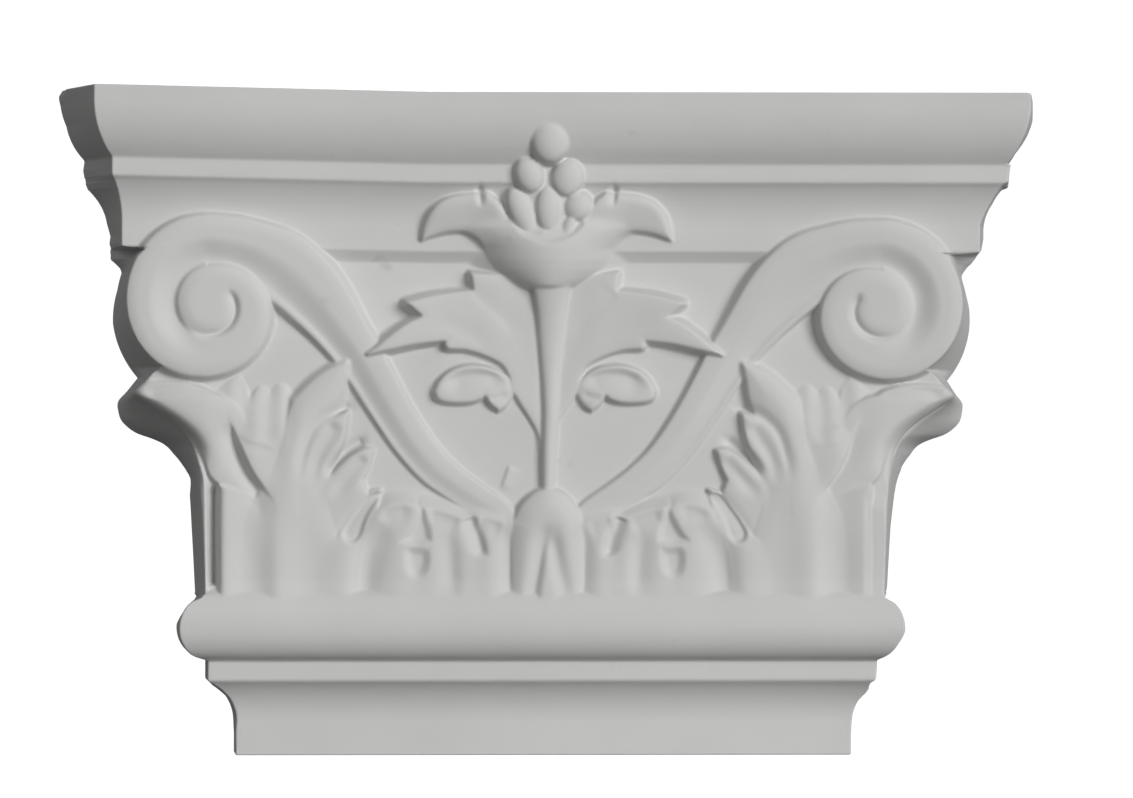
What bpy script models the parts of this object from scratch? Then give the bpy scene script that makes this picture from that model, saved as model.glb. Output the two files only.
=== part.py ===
# Plaster pilaster capital: abacus, corner scrolls, flower on its stalk, acanthus bell, torus and neck.
# One casting, flat behind where it meets the wall. Metres, +Z up, the wall on the +Y side, the front on -Y.
# The origin is the middle of the underside, where the capital sits on its shaft.

import math

import bmesh
import bpy
import numpy as np

# Heights of the mouldings, from the shaft seat up
NECK_HEIGHT = 0.0129
CAVETTO_HEIGHT = 0.0156
FILLET_HEIGHT = 0.0090
TORUS_HEIGHT = 0.0245
BELL_HEIGHT = 0.1273
STEP_HEIGHT = 0.0043
FACE_HEIGHT = 0.0109
HOLLOW_HEIGHT = 0.0148
LIST_HEIGHT = 0.0078
OVOLO_HEIGHT = 0.0210
EDGE_HEIGHT = 0.0060

# Depths of the front, from the wall
NECK_DEPTH = 0.0365
FILLET_DEPTH = 0.0470
TORUS_DEPTH = 0.0585
STRIP_DEPTH = 0.0505
GROUND_DEPTH = 0.0460
SCROLL_DEPTH = 0.0565
FACE_DEPTH = 0.0505
LIST_DEPTH = 0.0585
TOP_DEPTH = 0.0680

# Half widths of the front
NECK_HALF = 0.1186
FILLET_HALF = 0.1293
TORUS_HALF = 0.1403
BELL_HALF = 0.1310
FACE_HALF = 0.1642
LIST_HALF = 0.1678
TOP_HALF = 0.1745

# How far each return spreads between the front and the wall
NECK_SPREAD = 0.0008
FILLET_SPREAD = 0.0011
TORUS_SPREAD = 0.0016
BELL_SPREAD = 0.0039
FACE_SPREAD = 0.0060
LIST_SPREAD = 0.0122
TOP_SPREAD = 0.0157

# The abacus sits a little to the right of the axis, and the left end of the casting is bent up
ABACUS_SHIFT = 0.0018
LEFT_RISE = 0.0032
FLOWER_SHIFT = 0.0006

# The triangles of the finished solid, and the grid it is worked out on
TRIANGLES = 9400
GRID_STEP = 0.0014
WALL_STEPS = 6
CORE_HALF = 0.1120
CORE_SHARE = 0.62

LEVELS = np.cumsum([0.0, NECK_HEIGHT, CAVETTO_HEIGHT, FILLET_HEIGHT, TORUS_HEIGHT, BELL_HEIGHT, STEP_HEIGHT,
                    FACE_HEIGHT, HOLLOW_HEIGHT, LIST_HEIGHT, OVOLO_HEIGHT, EDGE_HEIGHT])
(FOOT, NECK_TOP, ARRIS, TORUS_FOOT, BELL_FOOT, BELL_TOP, FACE_FOOT, HOLLOW_FOOT, LIST_FOOT, OVOLO_FOOT, EDGE_FOOT,
 TOP) = LEVELS

# The origin lies in the middle of the foot
WALL_Y = NECK_DEPTH / 2

# The carving is drawn on a sheet, in millimetres: x from the axis, z up, height over the bell's ground.
# These three sizes of the sheet are laid on the bell.
SHEET_HALF = 133.0
SHEET_FOOT = 61.3
SHEET_TOP = 190.5
SHEET_RISE = 10.5


def ease(t):
    t = np.clip(t, 0.0, 1.0)
    return t * t * (3.0 - 2.0 * t)


def soft_max(a, b, width):
    # the larger of two heights, with a fillet of the given width where they cross
    share = np.clip(0.5 + 0.5 * (a - b) / width, 0.0, 1.0)
    return b + (a - b) * share + width * share * (1.0 - share)


def smooth_line(points, steps=6):
    # smooth curve through the points
    knots = np.array(points, float)
    if len(knots) < 3:
        return knots
    knots = np.vstack([2 * knots[0] - knots[1], knots, 2 * knots[-1] - knots[-2]])
    t = np.linspace(0, 1, steps, endpoint=False)[:, None]
    spans = []
    for a, b, c, d in zip(knots[:-3], knots[1:-2], knots[2:-1], knots[3:]):
        spans.append(0.5 * (2 * b + (c - a) * t + (2 * a - 5 * b + 4 * c - d) * t ** 2
                            + (3 * b - a - 3 * c + d) * t ** 3))
    spans.append(knots[-2:-1])
    return np.vstack(spans)


def closed_outline(*runs):
    # smooth runs that meet at corners, as one closed outline
    whole = np.vstack([smooth_line(run) for run in runs])
    gaps = np.hypot(*(whole - np.roll(whole, 1, axis=0)).T)
    return whole[gaps > 1e-6]


def line_distance(line, x, z):
    # distance to an open line, the share of its length there, and the side: 1 on the left of its way
    nearest = np.full(x.shape, 1e9)
    share = np.zeros(x.shape)
    side = np.ones(x.shape)
    lengths = np.hypot(*(line[1:] - line[:-1]).T)
    done = 0.0
    for (ax, az), (bx, bz), length in zip(line[:-1], line[1:], lengths):
        dx, dz = bx - ax, bz - az
        t = np.clip(((x - ax) * dx + (z - az) * dz) / (length ** 2 + 1e-12), 0, 1)
        ex, ez = x - ax - t * dx, z - az - t * dz
        gap = np.hypot(ex, ez)
        closer = gap < nearest
        nearest = np.where(closer, gap, nearest)
        share = np.where(closer, (done + t * length) / lengths.sum(), share)
        side = np.where(closer, np.sign(dx * ez - dz * ex), side)
        done += length
    return nearest, share, side


def outline_distance(outline, x, z):
    # distance to a closed outline, positive inside
    nearest = np.full(x.shape, 1e9)
    inside = np.zeros(x.shape, bool)
    for (ax, az), (bx, bz) in zip(outline, np.roll(outline, -1, axis=0)):
        dx, dz = bx - ax, bz - az
        t = np.clip(((x - ax) * dx + (z - az) * dz) / (dx * dx + dz * dz + 1e-12), 0, 1)
        nearest = np.minimum(nearest, np.hypot(x - ax - t * dx, z - az - t * dz))
        if dz != 0:
            inside ^= ((az > z) != (bz > z)) & (x < ax + (z - az) * dx / dz)
    return np.where(inside, nearest, -nearest)


class Carving:
    # points of the sheet and their height over the bell's ground, which each stroke changes in turn

    def __init__(self, x, z, height):
        self.x, self.z, self.height = x, z, height

    def around(self, outline, margin):
        low, high = outline.min(0) - margin, outline.max(0) + margin
        return (self.x > low[0]) & (self.x < high[0]) & (self.z > low[1]) & (self.z < high[1])

    def raise_form(self, runs, level, crown=0.0, crown_width=6.0, wall=2.4, blend=0.4, model=None):
        # a raised form: its edge stands at the level, its middle is crowned, and its walls fall steeply
        outline = closed_outline(*runs)
        window = self.around(outline, 9.0)
        x, z = self.x[window], self.z[window]
        inward = outline_distance(outline, x, z)
        top = level(x, z) if callable(level) else level
        top = top + crown * (1 - (1 - np.clip(inward / crown_width, 0, 1)) ** 2)
        if model is not None:
            top = top + model(x, z, inward)
        form = top + wall * np.minimum(inward, 0)
        self.height[window] = soft_max(self.height[window], form, blend)

    def cut_form(self, runs, depth, wall):
        # a hollow of the given depth, with walls of the given width
        outline = closed_outline(*runs)
        window = self.around(outline, 3.0)
        inward = outline_distance(outline, self.x[window], self.z[window])
        self.height[window] -= depth * ease((inward + 0.3 * wall) / wall)

    def cut_line(self, points, width, depth, fade):
        # a groove along a curve, which runs out over the fading share at each end
        line = smooth_line(points, 8)
        window = self.around(line, width * 2.2)
        gap, share, _ = line_distance(line, self.x[window], self.z[window])
        strength = ease(np.minimum(share, 1 - share) / fade)
        self.height[window] -= depth * strength * np.exp(-1.2 * (2 * gap / width) ** 2)


def hollow_profile(z, low, high, start, end, bow):
    # concave arc: upright at its foot, leaning out by the bow angle at its top
    t = np.sin(bow) * np.clip((z - low) / (high - low), 0, 1)
    return start + (end - start) * (1 - np.sqrt(1 - t * t)) / (1 - math.cos(bow))


def ovolo_profile(z, low, high, start, end, bow):
    # convex arc: upright at its top, leaning out by the bow angle at its foot
    t = np.sin(bow) * np.clip((high - z) / (high - low), 0, 1)
    return end - (end - start) * (1 - np.sqrt(1 - t * t)) / (1 - math.cos(bow))


def moulded(z, neck, fillet, torus, bell, face, lists, top):
    # one measure of the moulded body at height z, from its values on each member
    cavetto_end = neck + (fillet - neck) * 0.93
    hollow_end = face + (lists - face) * 0.82
    ovolo_start = lists + (top - lists) * 0.12
    step = np.clip((z - BELL_TOP) / STEP_HEIGHT, 0, 1)
    swing = np.clip((z - TORUS_FOOT) / TORUS_HEIGHT * 2 - 1, -1, 1)
    torus_foot = np.where(swing < 0, fillet, bell)
    choices = [
        (z > EDGE_FOOT, top),
        (z > OVOLO_FOOT, ovolo_profile(z, OVOLO_FOOT, EDGE_FOOT, ovolo_start, top, 1.05)),
        (z > LIST_FOOT, lists),
        (z > HOLLOW_FOOT, hollow_profile(z, HOLLOW_FOOT, LIST_FOOT, face, hollow_end, 1.0)),
        (z > FACE_FOOT, face),
        (z > BELL_TOP, bell + (face - bell) * step),
        (z > BELL_FOOT, bell),
        (z > TORUS_FOOT, torus_foot + (torus - torus_foot) * np.sqrt(1 - swing * swing)),
        (z > ARRIS, fillet),
        (z > NECK_TOP, hollow_profile(z, NECK_TOP, ARRIS, neck, cavetto_end, 1.15)),
    ]
    return np.select([c for c, _ in choices], [np.broadcast_to(v, z.shape) for _, v in choices], neck)


def sheet_x(x):
    return x * SHEET_HALF / BELL_HALF


def sheet_z(z):
    return SHEET_FOOT + (z - BELL_FOOT) * (SHEET_TOP - SHEET_FOOT) / BELL_HEIGHT


def real_x(x):
    return x * BELL_HALF / SHEET_HALF


def sheet_height(depth):
    return (depth - GROUND_DEPTH) * SHEET_RISE / (SCROLL_DEPTH - GROUND_DEPTH)


def real_depth(height):
    return GROUND_DEPTH + height * (SCROLL_DEPTH - GROUND_DEPTH) / SHEET_RISE


# The scroll: its centre on the sheet, and its radius at each quarter turn from the top, clockwise
SCROLL_CENTRE = (131.5, 171.2)
SCROLL_RADII = np.array((36.5, 31.7, 26.5, 24.6, 16.5, 13.0, 11.2, 11.3, 10.0))
STEM_UPPER = ((13, 97.5), (22, 103), (33, 112), (42, 122), (52, 137), (62, 155), (70, 168), (80, 185.5),
              (90, 196.5), (99, 202), (110, 205), (120, 207.2), (131.5, 207.7))
STEM_LOWER = ((22, 88), (30, 94), (40, 100), (50, 109), (60, 120), (70, 135), (80, 149), (90, 160),
              (100, 169), (107.5, 175.4), (113, 180.4), (121, 185.3), (131.5, 187.7))


def scroll_radius(turns):
    # smooth curve through the radii
    t = np.clip(turns * 4, 0, len(SCROLL_RADII) - 1.0001)
    i = t.astype(int)
    f = t - i
    a, b, c, d = (SCROLL_RADII[np.clip(i + k, 0, len(SCROLL_RADII) - 1)] for k in (-1, 0, 1, 2))
    return 0.5 * (2 * b + (c - a) * f + (2 * a - 5 * b + 4 * c - d) * f ** 2 + (3 * b - a - 3 * c + d) * f ** 3)


def channel(share):
    # how deep the band is hollowed, from 0 on its rim to 1: share runs from the outer edge inward
    return ease((share - 0.36) / 0.40) - 0.45 * ease((share - 0.80) / 0.20)


def carve_scroll(carving):
    # the channelled band that climbs from beside the bud and rolls up under the abacus
    rim, channel_depth, shoulder, wall = 10.5, 4.8, 1.6, 2.3
    centre_x, centre_z = SCROLL_CENTRE
    window = (carving.x > 5) & (carving.x < 175) & (carving.z > 80) & (carving.z < 215)
    x, z = carving.x[window], carving.z[window]
    upper, along, upper_side = line_distance(smooth_line(STEM_UPPER, 8), x, z)
    lower, _, lower_side = line_distance(smooth_line(STEM_LOWER, 8), x, z)
    upper, lower = -upper * upper_side, lower * lower_side
    share = np.clip(upper / np.maximum(upper + lower, 1e-3), 0, 1)
    stages = (0, 0.25, 0.6, 1)
    stem = np.interp(along, stages, (5.5, 7.5, 9.5, rim))
    stem -= np.interp(along, stages, (1.2, 2.6, 4.5, channel_depth)) * channel(share)
    stem -= shoulder * (1 - ease(upper / 3.5))
    stem += wall * np.minimum(np.minimum(upper, lower), 0)
    stem = np.where(x > centre_x, -99.0, stem)
    radius = np.hypot(x - centre_x, z - centre_z)
    turn = (np.arctan2(x - centre_x, z - centre_z) / (2 * math.pi)) % 1.0
    outer, inner = scroll_radius(turn), scroll_radius(turn + 1.0)
    share = np.clip((outer - radius) / (outer - inner), 0, 1)
    roll = rim - channel_depth * channel(share) * (1 - ease((turn - 0.22) / 0.36))
    roll -= shoulder * (1 - ease((outer - radius) / 3.0))
    boss = 1 - ease((radius - inner + 1.2) / 2.4)
    roll += (rim - 0.3 - roll) * boss
    starts, ends = ease(turn / 0.2), ease((0.87 - turn) / 0.06)
    roll -= 2.4 * starts * ends * np.exp(-((radius - inner - 0.6) / 1.5) ** 2)
    roll = np.where(radius > outer, rim - shoulder - wall * (radius - outer), roll)
    carving.height[window] = soft_max(carving.height[window], np.maximum(stem, roll), 0.6)


def carve_corner_leaf(carving):
    # lower sheet: a valley between two ribs
    carving.raise_form([[(104, 56), (104, 80), (107, 100), (128, 106)], [(128, 106), (127.2, 85), (126.2, 56)],
                        [(126.2, 56), (104, 56)]],
                       lambda x, z: 6.8 + 4.0 * ease((x - 114.5) / 11) + 3.4 * ease((114.5 - x) / 11), wall=1.7)


def carve_corner_tip(carving):
    # upper sheet, which ends in small tips and in the horn under the scroll
    def model(x, z, inward):
        ribs = 0.8 * np.cos((x - 112.5) / 11 * 2 * math.pi) * ease((z - 116) / 8) * ease((127 - x) / 6)
        return ribs + 1.6 * ease((x - 104) / 14) * ease((z - 92) / 12) * ease((126 - x) / 4)
    carving.raise_form([[(100, 92), (100, 110), (102, 122), (103.5, 134)], [(103.5, 134), (105, 138), (108, 141.5)],
                        [(108, 141.5), (113, 136.5), (117, 137), (122, 144.5)],
                        [(122, 144.5), (127, 142), (130, 138), (134, 141), (141, 143.5), (150, 143.8), (155, 142),
                         (160, 139)],
                        [(160, 139), (152, 134), (145, 131), (138, 126.5), (133.5, 119), (131.5, 112), (130.5, 106)],
                        [(130.5, 106), (124, 104), (118, 102), (111, 97), (106, 90)],
                        [(106, 90), (103, 88), (100, 92)]],
                       lambda x, z: 8.2 + 1.6 * ease((x - 120) / 14), crown=2.0, crown_width=10, wall=1.9,
                       blend=0.6, model=model)
    carving.cut_line([(104.5, 117.5), (110, 120.5), (118, 123.5)], 2.2, 0.9, 0.2)
    # the deep slit between the corner tip and the rest
    carving.cut_form([[(122.3, 128), (118.6, 118), (113.5, 108), (106, 99.5), (103.6, 94)],
                      [(103.6, 94), (105, 91.5), (107, 93)],
                      [(107, 93), (109.5, 99), (116, 106), (120.5, 115), (122.3, 128)]], 4.2, wall=1.6)


def carve_tall_leaf(carving):
    midrib = smooth_line([(103.5, 50), (102.5, 80), (100.5, 105), (97, 122), (89, 139), (78, 151)])

    def spoon(depth, half):
        return lambda x, z, inward: -depth * ease(inward / half)
    # central blade
    carving.raise_form([[(88, 50), (89, 90), (92, 108), (88, 122), (79, 132)], [(79, 132), (76, 140), (74.5, 153)],
                        [(74.5, 153), (86, 150.5), (93, 145), (97.5, 138)], [(97.5, 138), (101, 145)],
                        [(101, 145), (101.2, 138), (103, 130), (105, 118), (109, 104), (111, 50)],
                        [(111, 50), (88, 50)]],
                       7.0, crown=1.3, crown_width=7, wall=2.6,
                       model=lambda x, z, inward: 2.6 * np.exp(-(line_distance(midrib, x, z)[0] / 5.0) ** 2))
    # three side lobes, each standing over the one above it
    carving.raise_form([[(82, 88), (80, 104), (78.5, 116), (75, 125), (74.3, 132.3)],
                        [(74.3, 132.3), (80, 131.6), (86, 128.6), (91, 122.5), (94.5, 113), (94, 98), (90, 88)],
                        [(90, 88), (82, 88)]],
                       lambda x, z: 6.8 + 3.2 * ease((z - 92) / 20), wall=2.6, model=spoon(1.9, 6))
    carving.raise_form([[(64.5, 117.2), (69, 119.5), (75, 118.5), (80, 114.8), (85.5, 109), (88, 98), (87, 84)],
                        [(87, 84), (76, 84), (71, 95), (70.3, 104.5)], [(70.3, 104.5), (66.8, 110), (64.5, 117.2)]],
                       lambda x, z: 7.2 + 3.2 * ease((z - 86) / 16), wall=2.6, model=spoon(1.7, 6))
    carving.raise_form([[(61.5, 103), (67, 104.3), (73, 101), (78.5, 95), (82.5, 86), (85, 70), (86, 50)],
                        [(86, 50), (72, 50)], [(72, 50), (70, 74), (66, 88), (63, 96), (61.5, 103)]],
                       lambda x, z: 7.6 + 2.0 * ease((z - 80) / 14), crown=1.2, crown_width=7, blend=0.5)
    # the eyes between them
    carving.cut_form([[(65.8, 99.5), (71.5, 98), (76.5, 93), (79.3, 87), (78.6, 83), (75, 83.4), (70.5, 89.5),
                       (65.8, 99.5)]], 3.2, wall=2.6)
    carving.cut_form([[(74, 121), (79, 118.6), (84, 113.8), (87.2, 109.5), (84, 108.6), (79, 112.6), (75.4, 117),
                       (74, 121)]], 2.6, wall=2.0)


def carve_low_leaf(carving):
    valleys = (((40, 90), (36, 76), (35, 60)), ((16, 84), (13.5, 70), (13, 56)),
               ((60, 92), (67, 81), (70.5, 66), (71, 54)))
    depths, widths = (1.5, 1.4, 1.8), (3.6, 2.2, 3.6)

    def model(x, z, inward):
        fall = [depth * np.exp(-(line_distance(smooth_line(line), x, z)[0] / width) ** 2)
                for line, depth, width in zip(valleys, depths, widths)]
        return -sum(fall)
    carving.raise_form([[(12, 50), (12, 88), (18, 91), (27, 93.2), (32, 90.7)],
                        [(32, 90.7), (38, 93.5), (46, 96), (57, 97.3), (63, 94)],
                        [(63, 94), (69, 86), (74, 74), (76, 50)], [(76, 50), (12, 50)]],
                       lambda x, z: 7.0 + 1.6 * ease((z - 70) / 24), crown=1.3, crown_width=6, wall=2.2, model=model)
    carving.cut_form([[(32.5, 92.5), (32, 85), (29.5, 77.5), (26, 74), (22, 75.5), (23, 82), (27, 89),
                       (32.5, 92.5)]], 3.2, wall=2.6)
    carving.cut_form([[(48.7, 95.6), (52.5, 88), (57.8, 81)], [(57.8, 81), (50, 80.4), (43.8, 82)],
                      [(43.8, 82), (44.5, 89), (48.7, 95.6)]], 3.0, wall=2.4)
    carving.cut_form([[(45, 79), (50, 79.6), (54.5, 78.5), (55, 73), (53, 68.5), (49.5, 67.2), (46, 69.5),
                       (44.6, 74), (45, 79)]], 2.8, wall=2.6)


def carve_bud(carving):
    carving.raise_form([[(-15.2, 50), (-15, 86), (-13.5, 91.5), (-10, 97), (-5, 101.8), (0.8, 103.6), (6, 101.8),
                         (10.8, 97), (14, 91.5), (15.4, 86), (15.6, 50)], [(15.6, 50), (-15.2, 50)]],
                       lambda x, z: 8.2 + 0.8 * ease((z - 70) / 24), crown=3.2, crown_width=8, blend=0.5)
    # the opening and the tongue in it
    carving.cut_form([[(0.9, 92), (3.4, 80), (5.6, 68), (6.8, 50)], [(6.8, 50), (-5, 50)],
                      [(-5, 50), (-3.8, 68), (-1.6, 80), (0.9, 92)]], 2.6, wall=3.0)
    carving.raise_form([[(0.9, 91.5), (2.6, 80), (4, 68), (4.6, 50)], [(4.6, 50), (-2.8, 50)],
                        [(-2.8, 50), (-2.2, 68), (-0.8, 80), (0.9, 91.5)]], 8.6, crown=3.0, crown_width=3.0, wall=1.6)


def carve_stem_leaf(carving):
    carving.raise_form([[(3, 184), (9, 186.5), (18, 187), (30, 187.5)], [(30, 187.5), (29.5, 184), (28.3, 180.5)],
                        [(28.3, 180.5), (40, 179.6), (55.5, 176)], [(55.5, 176), (52, 172.5), (48, 170)],
                        [(48, 170), (55, 167), (62, 162), (66, 158.3), (70, 154)],
                        [(70, 154), (62, 155.6), (54, 157.6), (46, 159), (39.5, 160.5)],
                        [(39.5, 160.5), (37, 157), (32, 156.2), (25, 154.3), (17, 150.5), (10, 144), (5, 136)],
                        [(5, 136), (3, 184)]],
                       lambda x, z: 1.2 + 3.6 * ease((x - 6) / 14) + 5.6 * ease((x - 36) / 32),
                       crown=0.7, crown_width=5, wall=2.6)
    carving.cut_line([(48, 173), (34, 168), (20, 158), (9, 144)], 5.0, 0.7, 0.2)


def carve_curled_lobe(carving):
    carving.raise_form([[(3, 118), (5, 128), (10, 137), (16, 146), (24, 151), (33, 150.6), (40, 146.5), (44.6, 140.8)],
                        [(44.6, 140.8), (43, 137.5), (38, 135), (30, 134.6), (23.5, 138)],
                        [(23.5, 138), (21, 133.5), (17.5, 131.5)],
                        [(17.5, 131.5), (13, 134), (9, 128), (6, 118)], [(6, 118), (3, 118)]],
                       lambda x, z: 3.6 + 1.8 * ease((x - 8) / 20), crown=1.6, crown_width=5)
    carving.cut_form([[(17, 142.5), (24, 146.2), (31, 146.4), (38, 143.6), (41, 141.2), (36, 140.8), (30, 142),
                       (24, 141.6), (17, 142.5)]], 3.4, wall=2.4)
    carving.cut_form([[(13.5, 137.5), (17, 138), (21.5, 135), (21.5, 132.4), (17, 131.5), (14, 134),
                       (13.5, 137.5)]], 2.6, wall=2.0)
    # sheath tip beside the foot of the stalk
    carving.raise_form([[(10, 97), (12, 106), (14, 112.5)], [(14, 112.5), (17.5, 107), (19, 101)],
                        [(19, 101), (10, 97)]], 4.5, crown=1.6, crown_width=3)


def carve_stalk(carving):
    window = (carving.x < 16) & (carving.z > 92) & (carving.z < 188)
    x, z = carving.x[window], carving.z[window]
    half = np.interp(z, (96, 110, 133, 145, 160, 174, 181, 186), (7, 4.6, 3.2, 4.0, 5.4, 6.6, 8.0, 11.0))
    crest = np.interp(z, (96, 110, 133, 160, 174, 184), (9.0, 8.0, 7.0, 7.6, 9.2, 12.4))
    form = crest - 2.2 + 2.2 * np.sqrt(np.clip(1 - (x / half) ** 2, 0, 1)) - 2.6 * np.maximum(x - half, 0)
    carving.height[window] = soft_max(carving.height[window], form, 0.5)


# Berries: across, up, width, height, the height of their seat, and how far they lean to the left
BERRIES = ((0.3, 212, 20, 26, 13.5, 0), (1.2, 236.4, 14.4, 18.5, 16.5, 0), (-6.6, 224.4, 12.0, 14.0, 18.4, 0.12),
           (8.0, 224, 11.8, 14.0, 18.4, -0.08), (1.0, 228, 9, 12, 14.5, 0), (-9.8, 209, 10.8, 20.5, 17.8, 0.45),
           (10.8, 208.8, 10.2, 18.5, 17.8, -0.4), (0.6, 211, 10.0, 19.5, 21.0, 0.05))


def carve_flower(carving):
    # the cup widens like a trumpet into two side petals, which curl over at their tips
    def level(x, z):
        cup = 3.5 + 7.0 * ease((z - 178) / 20) * np.sqrt(np.clip(1 - (x / 27) ** 2, 0, 1))
        return np.maximum(cup, 6.5 + 1.2 * ease((z - 203) / 12))
    full_x, carving.x = carving.x, np.abs(carving.x)
    carving.raise_form([[(-20, 181.5), (0, 181.5), (6, 181), (11, 182.8), (15, 185.8), (20, 189.3), (22.8, 193.2),
                         (25.5, 197.6), (29.5, 200.6), (36, 201.8), (44, 200.8), (49.6, 198.6)],
                        [(49.6, 198.6), (49, 205), (46, 211.5), (41, 216.2), (34, 218.6), (28.6, 218.8)],
                        [(28.6, 218.8), (27.6, 213.5)], [(27.6, 213.5), (26.8, 217.5), (24.6, 218.9)],
                        [(24.6, 218.9), (20.5, 216.5), (17, 211), (14, 204.5), (8, 199.6), (0, 198), (-20, 198)],
                        [(-20, 198), (-20, 181.5)]],
                       level, crown=6.5, crown_width=7.5, wall=3.2, blend=0.3)
    carving.x = full_x
    for across, up, width, high, seat, lean in BERRIES:
        window = (np.abs(carving.x - across) < high) & (np.abs(carving.z - up) < high)
        x, z = carving.x[window] - across, carving.z[window] - up
        off = np.hypot((x + lean * z) * 2 / width, z * 2 / high)
        dome = seat + 0.46 * width * np.sqrt(np.clip(1 - off * off, 0, 1)) - 6 * width * np.maximum(off - 1, 0)
        carving.height[window] = soft_max(carving.height[window], dome, 0.3)


def front_depth(x, z):
    # depth of the front from the wall at real points
    body = moulded(z, NECK_DEPTH, FILLET_DEPTH, TORUS_DEPTH, STRIP_DEPTH, FACE_DEPTH, LIST_DEPTH, TOP_DEPTH)
    across = np.abs(sheet_x(x))
    ground = GROUND_DEPTH + (STRIP_DEPTH - GROUND_DEPTH) * ease((across - 122) / 6)
    step = np.clip((z - BELL_TOP) / STEP_HEIGHT, 0, 1)
    on_bell = (z > BELL_FOOT) & (z <= FACE_FOOT)
    body = np.where(on_bell, ground + (FACE_DEPTH - ground) * step, body)
    carving = Carving(across, sheet_z(z), sheet_height(body))
    carve_corner_leaf(carving)
    carve_scroll(carving)
    carve_corner_tip(carving)
    carve_tall_leaf(carving)
    carve_low_leaf(carving)
    carve_bud(carving)
    carve_stem_leaf(carving)
    carve_curled_lobe(carving)
    carve_stalk(carving)
    carving.x = sheet_x(x - FLOWER_SHIFT)
    carve_flower(carving)
    return np.where(z > BELL_FOOT, real_depth(carving.height), body)


# Side outlines of the bell on the sheet, as height and half width: the bell's flare, then the horn
FRONT_FLARE = ((61, 132.3), (80, 133), (100, 134), (112, 135.6), (118, 137.2), (122, 139.6), (127, 147), (132, 153),
               (136, 157.5), (139.5, 159.5), (143, 156), (147.5, 151.5), (150, 146))
WALL_FLARE = ((61, 136.5), (85, 138), (104, 139.5), (110, 142), (115, 144.5), (119, 148), (121.5, 153), (124, 160),
              (128, 165), (132, 166.6), (136, 166.6), (140, 163), (146, 158), (150, 154))


def half_width(z, flare, spread):
    # half width of the front at height z, or of the wall side where the spread is 1
    def reach(half, extra):
        return half + extra * spread
    body = moulded(z, reach(NECK_HALF, NECK_SPREAD), reach(FILLET_HALF, FILLET_SPREAD),
                   reach(TORUS_HALF, TORUS_SPREAD), reach(BELL_HALF, BELL_SPREAD), reach(FACE_HALF, FACE_SPREAD),
                   reach(LIST_HALF, LIST_SPREAD), reach(TOP_HALF, TOP_SPREAD))
    up = sheet_z(z)
    levels, halves = smooth_line(flare, 4).T
    side = np.interp(up, levels, halves)
    turns = np.linspace(0, 0.5, 60)
    radius = scroll_radius(turns) + 4.6 * spread
    arc_z = SCROLL_CENTRE[1] - 1.5 * spread + radius * np.cos(2 * math.pi * turns)
    arc_x = SCROLL_CENTRE[0] + radius * np.sin(2 * math.pi * turns)
    roll = np.interp(up, arc_z[::-1], arc_x[::-1], left=0, right=0)
    bell = real_x(np.maximum(side, roll))
    return np.where((z > BELL_FOOT) & (z < FACE_FOOT), bell, body)


def rows_between(low, high, step):
    count = max(1, round((high - low) / step))
    return list(np.linspace(low, high, count, endpoint=False))


def row_levels():
    # heights of the grid's rows: every arris has two close together
    sharp = 0.0002
    rows = []
    for low, high in zip(LEVELS[:-1], LEVELS[1:]):
        rows += [low] + rows_between(low + sharp, high, GRID_STEP)
    return np.array(rows + [TOP])


def column_places(half):
    # x of the grid's columns in each row: upright lines in the core, spread to the row's half width outside it
    share = np.linspace(-1, 1, round(2 * FACE_HALF / GRID_STEP))[None, :]
    outer = np.clip((np.abs(share) - CORE_SHARE) / (1 - CORE_SHARE), 0, 1)
    return CORE_HALF * np.clip(share / CORE_SHARE, -1, 1) + np.sign(share) * outer * (half[:, None] - CORE_HALF)


def bent(x, z):
    # the left end of the casting is bent up, more so towards the top
    out = np.clip((-x - 0.25 * TOP_HALF) / (0.8 * TOP_HALF), 0, 1)
    up = np.clip((z - 0.4 * TOP) / (0.43 * TOP), 0, 1)
    return z + LEFT_RISE * out * up


def capital_points():
    rows = row_levels()
    front, wall = half_width(rows, FRONT_FLARE, 0.0), half_width(rows, WALL_FLARE, 1.0)
    x = column_places(front)
    z = np.repeat(rows[:, None], x.shape[1], axis=1)
    x = x + ABACUS_SHIFT * np.clip((z - BELL_TOP) / STEP_HEIGHT, 0, 1)
    depth = front_depth(x, z)
    climb = np.linspace(0, 1, WALL_STEPS, endpoint=False)[None, :]
    spread = (wall - front)[:, None] * (1 - climb)
    left_x, right_x = x[:, :1] - spread, (x[:, -1:] + spread)[:, ::-1]
    left_depth, right_depth = depth[:, :1] * climb, (depth[:, -1:] * climb)[:, ::-1]
    x = np.hstack([left_x, x, right_x])
    depth = np.hstack([left_depth, depth, right_depth])
    z = np.repeat(rows[:, None], x.shape[1], axis=1)
    return np.stack([x, WALL_Y - depth, bent(x, z)], axis=-1)


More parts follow.
